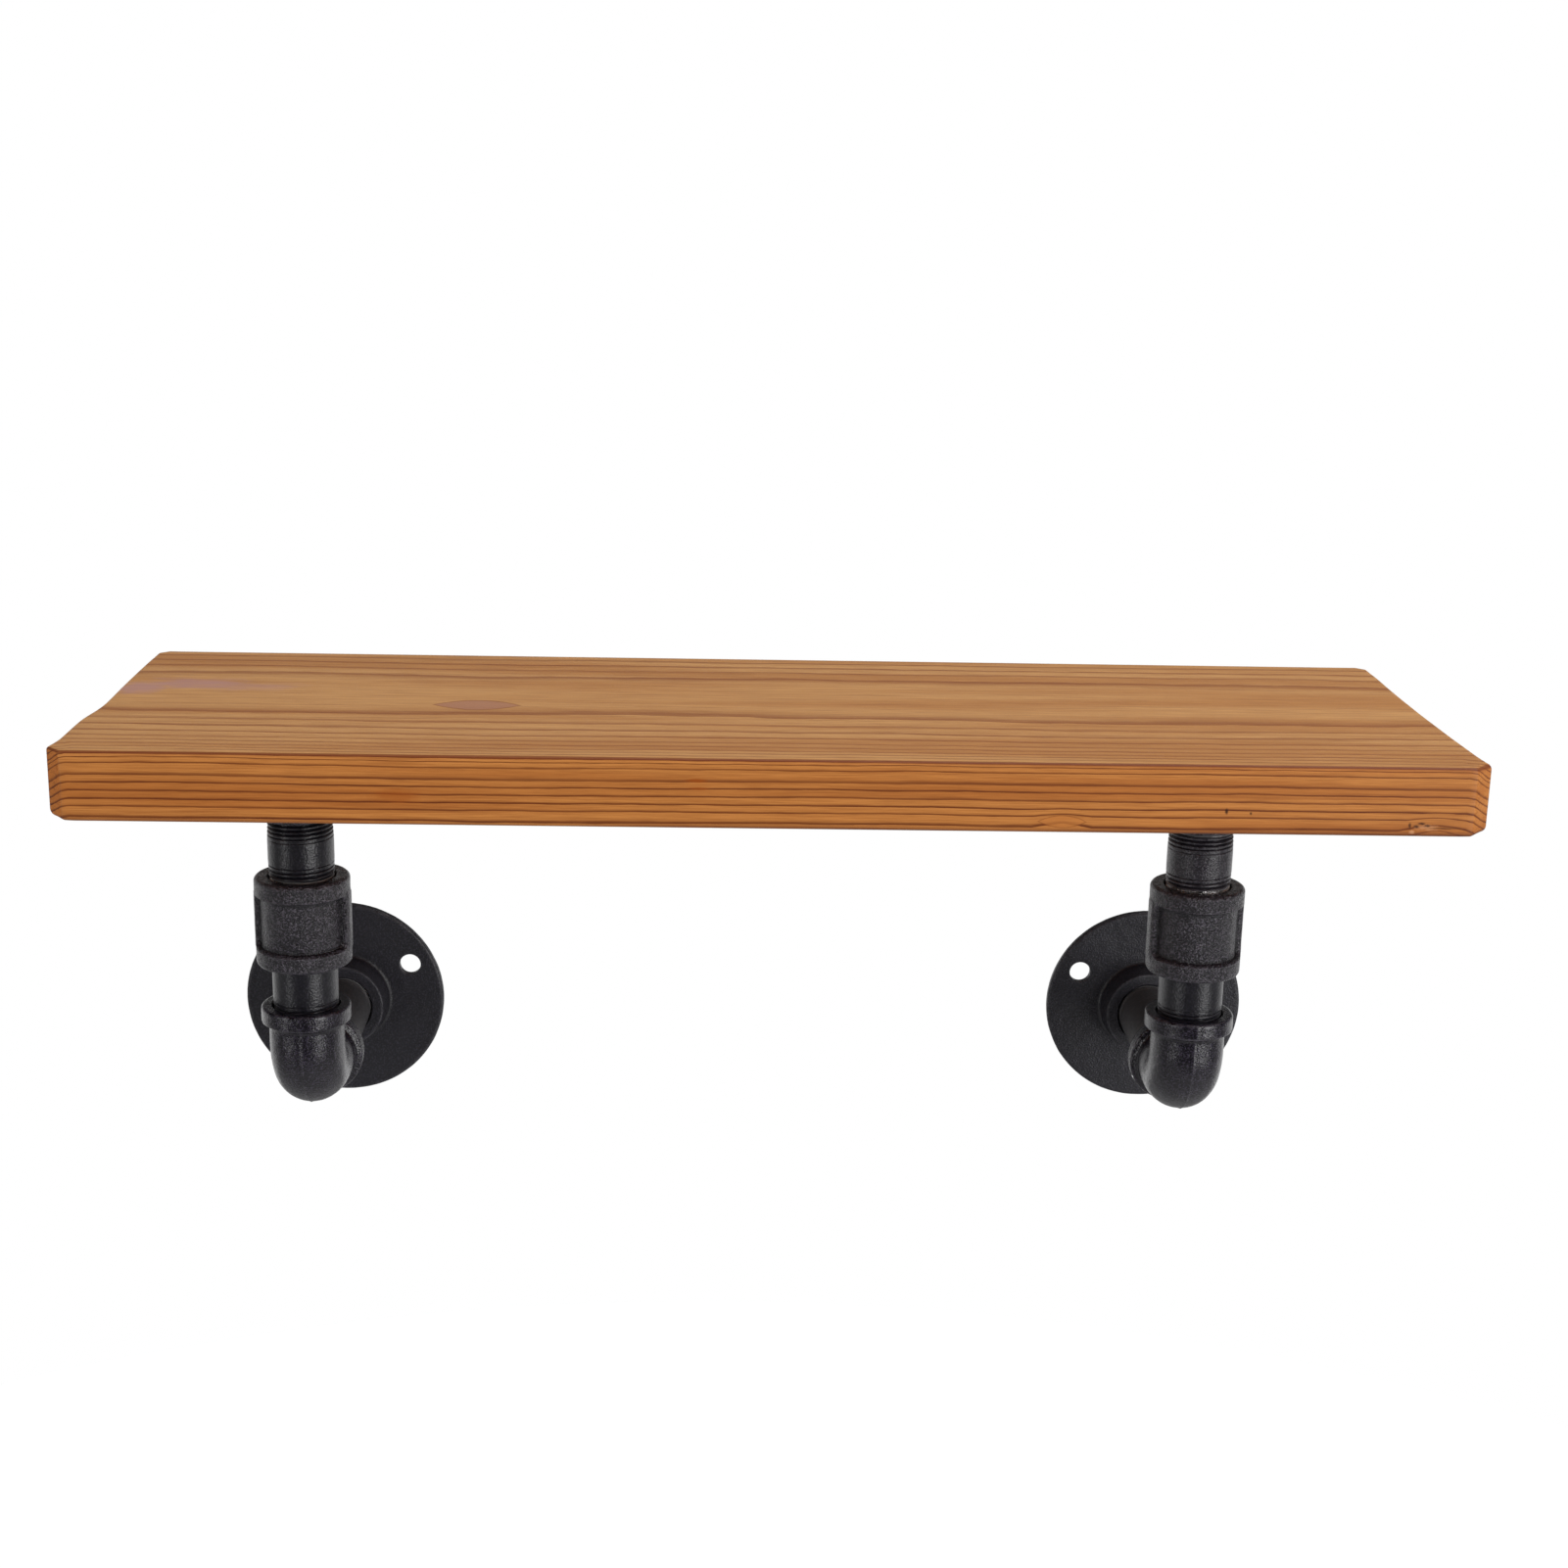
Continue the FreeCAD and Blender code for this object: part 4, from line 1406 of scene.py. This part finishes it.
# how far each end is planed in, against the distance behind the front
LEFT_END = (
    (0, 0), (7, 0.2), (16, 1.5), (42, 1.0), (50, 1.0), (58, 1.6), (66, 2.5),
    (76, 3.0), (90, 2.6), (106, 1.9), (122, 1.4), (140, 0.9), (160, 0.5), (184, 0.4),
)
RIGHT_END = (
    (0, 0), (9, 0.2), (18, 1.9), (50, 2.4), (90, 2.4), (122, 1.9), (140, 1.4), (160, 0.6), (184, 0.4),
)

middle_x, middle_y = (board_low.x + board_high.x) / 2, (board_low.y + board_high.y) / 2
half_x, half_y = (board_high.x - board_low.x) / 2, (board_high.y - board_low.y) / 2
outline = walk([
    (half_x - RIGHT_CORNER, -half_y, CORNER_ROUNDING),
    (half_x, -half_y + RIGHT_CORNER, CORNER_ROUNDING),
    (half_x, half_y - BACK_CORNER, CORNER_ROUNDING),
    (half_x - BACK_CORNER, half_y, CORNER_ROUNDING),
    (-half_x + BACK_CORNER, half_y, CORNER_ROUNDING),
    (-half_x, half_y - BACK_CORNER, CORNER_ROUNDING),
    (-half_x, -half_y + LEFT_CORNER, CORNER_ROUNDING),
    (-half_x + LEFT_CORNER, -half_y, CORNER_ROUNDING),
], BOARD_STEP)
x, y = outline[:, 0], outline[:, 1]
back = y + half_y
hollow = np.where(x < 0, np.interp(back, *zip(*LEFT_END)), np.interp(back, *zip(*RIGHT_END)))
margin = AVERAGED // 2
once_round = np.concatenate((hollow[-margin:], hollow, hollow[:margin]))
hollow = np.convolve(once_round, np.full(AVERAGED, 1 / AVERAGED), "valid")
x = x - np.sign(x) * hollow * soft_step((np.abs(x) - half_x + HOLLOW_RUN) / HOLLOW_RUN)
print("outline of", len(outline), "points, planed in by up to", round(hollow.max(), 1), "mm")

# %% [markdown]
# Every ring is drawn in from that outline by its own amount. The way in is towards a smaller rectangle,
# so that it turns slowly round a corner and a ring never crosses itself.

# %% Rounded edges
EDGE_ROUNDING = 1.4
# how round the front corners are at their lower and upper tips
LEFT_TIPS = (3.2, 1.4)
RIGHT_TIPS = (2.4, 2.6)
TIP_ALONG = 5.0        # the rounder tips run on so far past a planed corner along the front
TIP_BACK = 14.0        # and along the end
CORE_INSET = 11.0      # how far inside the outline the smaller rectangle lies

core = np.array((half_x - CORE_INSET, half_y - CORE_INSET))
outward = outline - np.clip(outline, -core, core)
outward /= np.linalg.norm(outward, axis=1)[:, None]
corner = np.where(x < 0, LEFT_CORNER, RIGHT_CORNER)
run = corner + TIP_ALONG
near_end = soft_step((np.abs(x) - half_x + run) / run)
near_tip = near_end * (1 - soft_step((back - corner) / TIP_BACK))
lower, upper = (
    EDGE_ROUNDING + (np.where(x < 0, left_tip, right_tip) - EDGE_ROUNDING) * near_tip
    for left_tip, right_tip in zip(LEFT_TIPS, RIGHT_TIPS)
)
print("edges are rounded by", EDGE_ROUNDING, "to", round(max(lower.max(), upper.max()), 1), "mm")

# %% Rings from the bottom face to the top
FLAT_RIM = 1.5         # an extra ring this far inside each flat face keeps its shading flat
ROUNDING_RINGS = 6
SIDE_RINGS = 7

quarter = np.linspace(0, math.pi / 2, ROUNDING_RINGS)
levels = [(lower + FLAT_RIM, board_low.z + 0 * x)]
for turn in quarter:
    levels.append((lower * (1 - math.sin(turn)), board_low.z + lower * (1 - math.cos(turn))))
for share in np.linspace(0, 1, SIDE_RINGS + 2)[1:-1]:
    levels.append((0 * x, board_low.z + lower + share * (board_high.z - board_low.z - lower - upper)))
for turn in quarter[::-1]:
    levels.append((upper * (1 - math.sin(turn)), board_high.z - upper * (1 - math.cos(turn))))
levels.append((upper + FLAT_RIM, board_high.z + 0 * x))
rings = []
for inset, level in levels:
    rings.append(np.stack((
        middle_x + x - outward[:, 0] * inset,
        middle_y + y - outward[:, 1] * inset,
        level,
    ), axis=-1))
mesh = skin("shelf_board_plank", np.array(rings) * MM, looped=False)
mesh.materials.append(pine)
mesh.shade_smooth()
mesh.set_sharp_from_angle(angle=CREASE)
hand_over(add_object("shelf_board_plank", mesh), "shelf_board", "board")

# %% [markdown]
# ## Boxes and finish
# The new pieces should stay within the solid model's box, so both boxes are printed.

# %% Finish
new_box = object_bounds()
for label, box in (("solid model", cad_box), ("new pieces", new_box)):
    print(label, [[round(value / MM, 1) for value in corner] for corner in box])
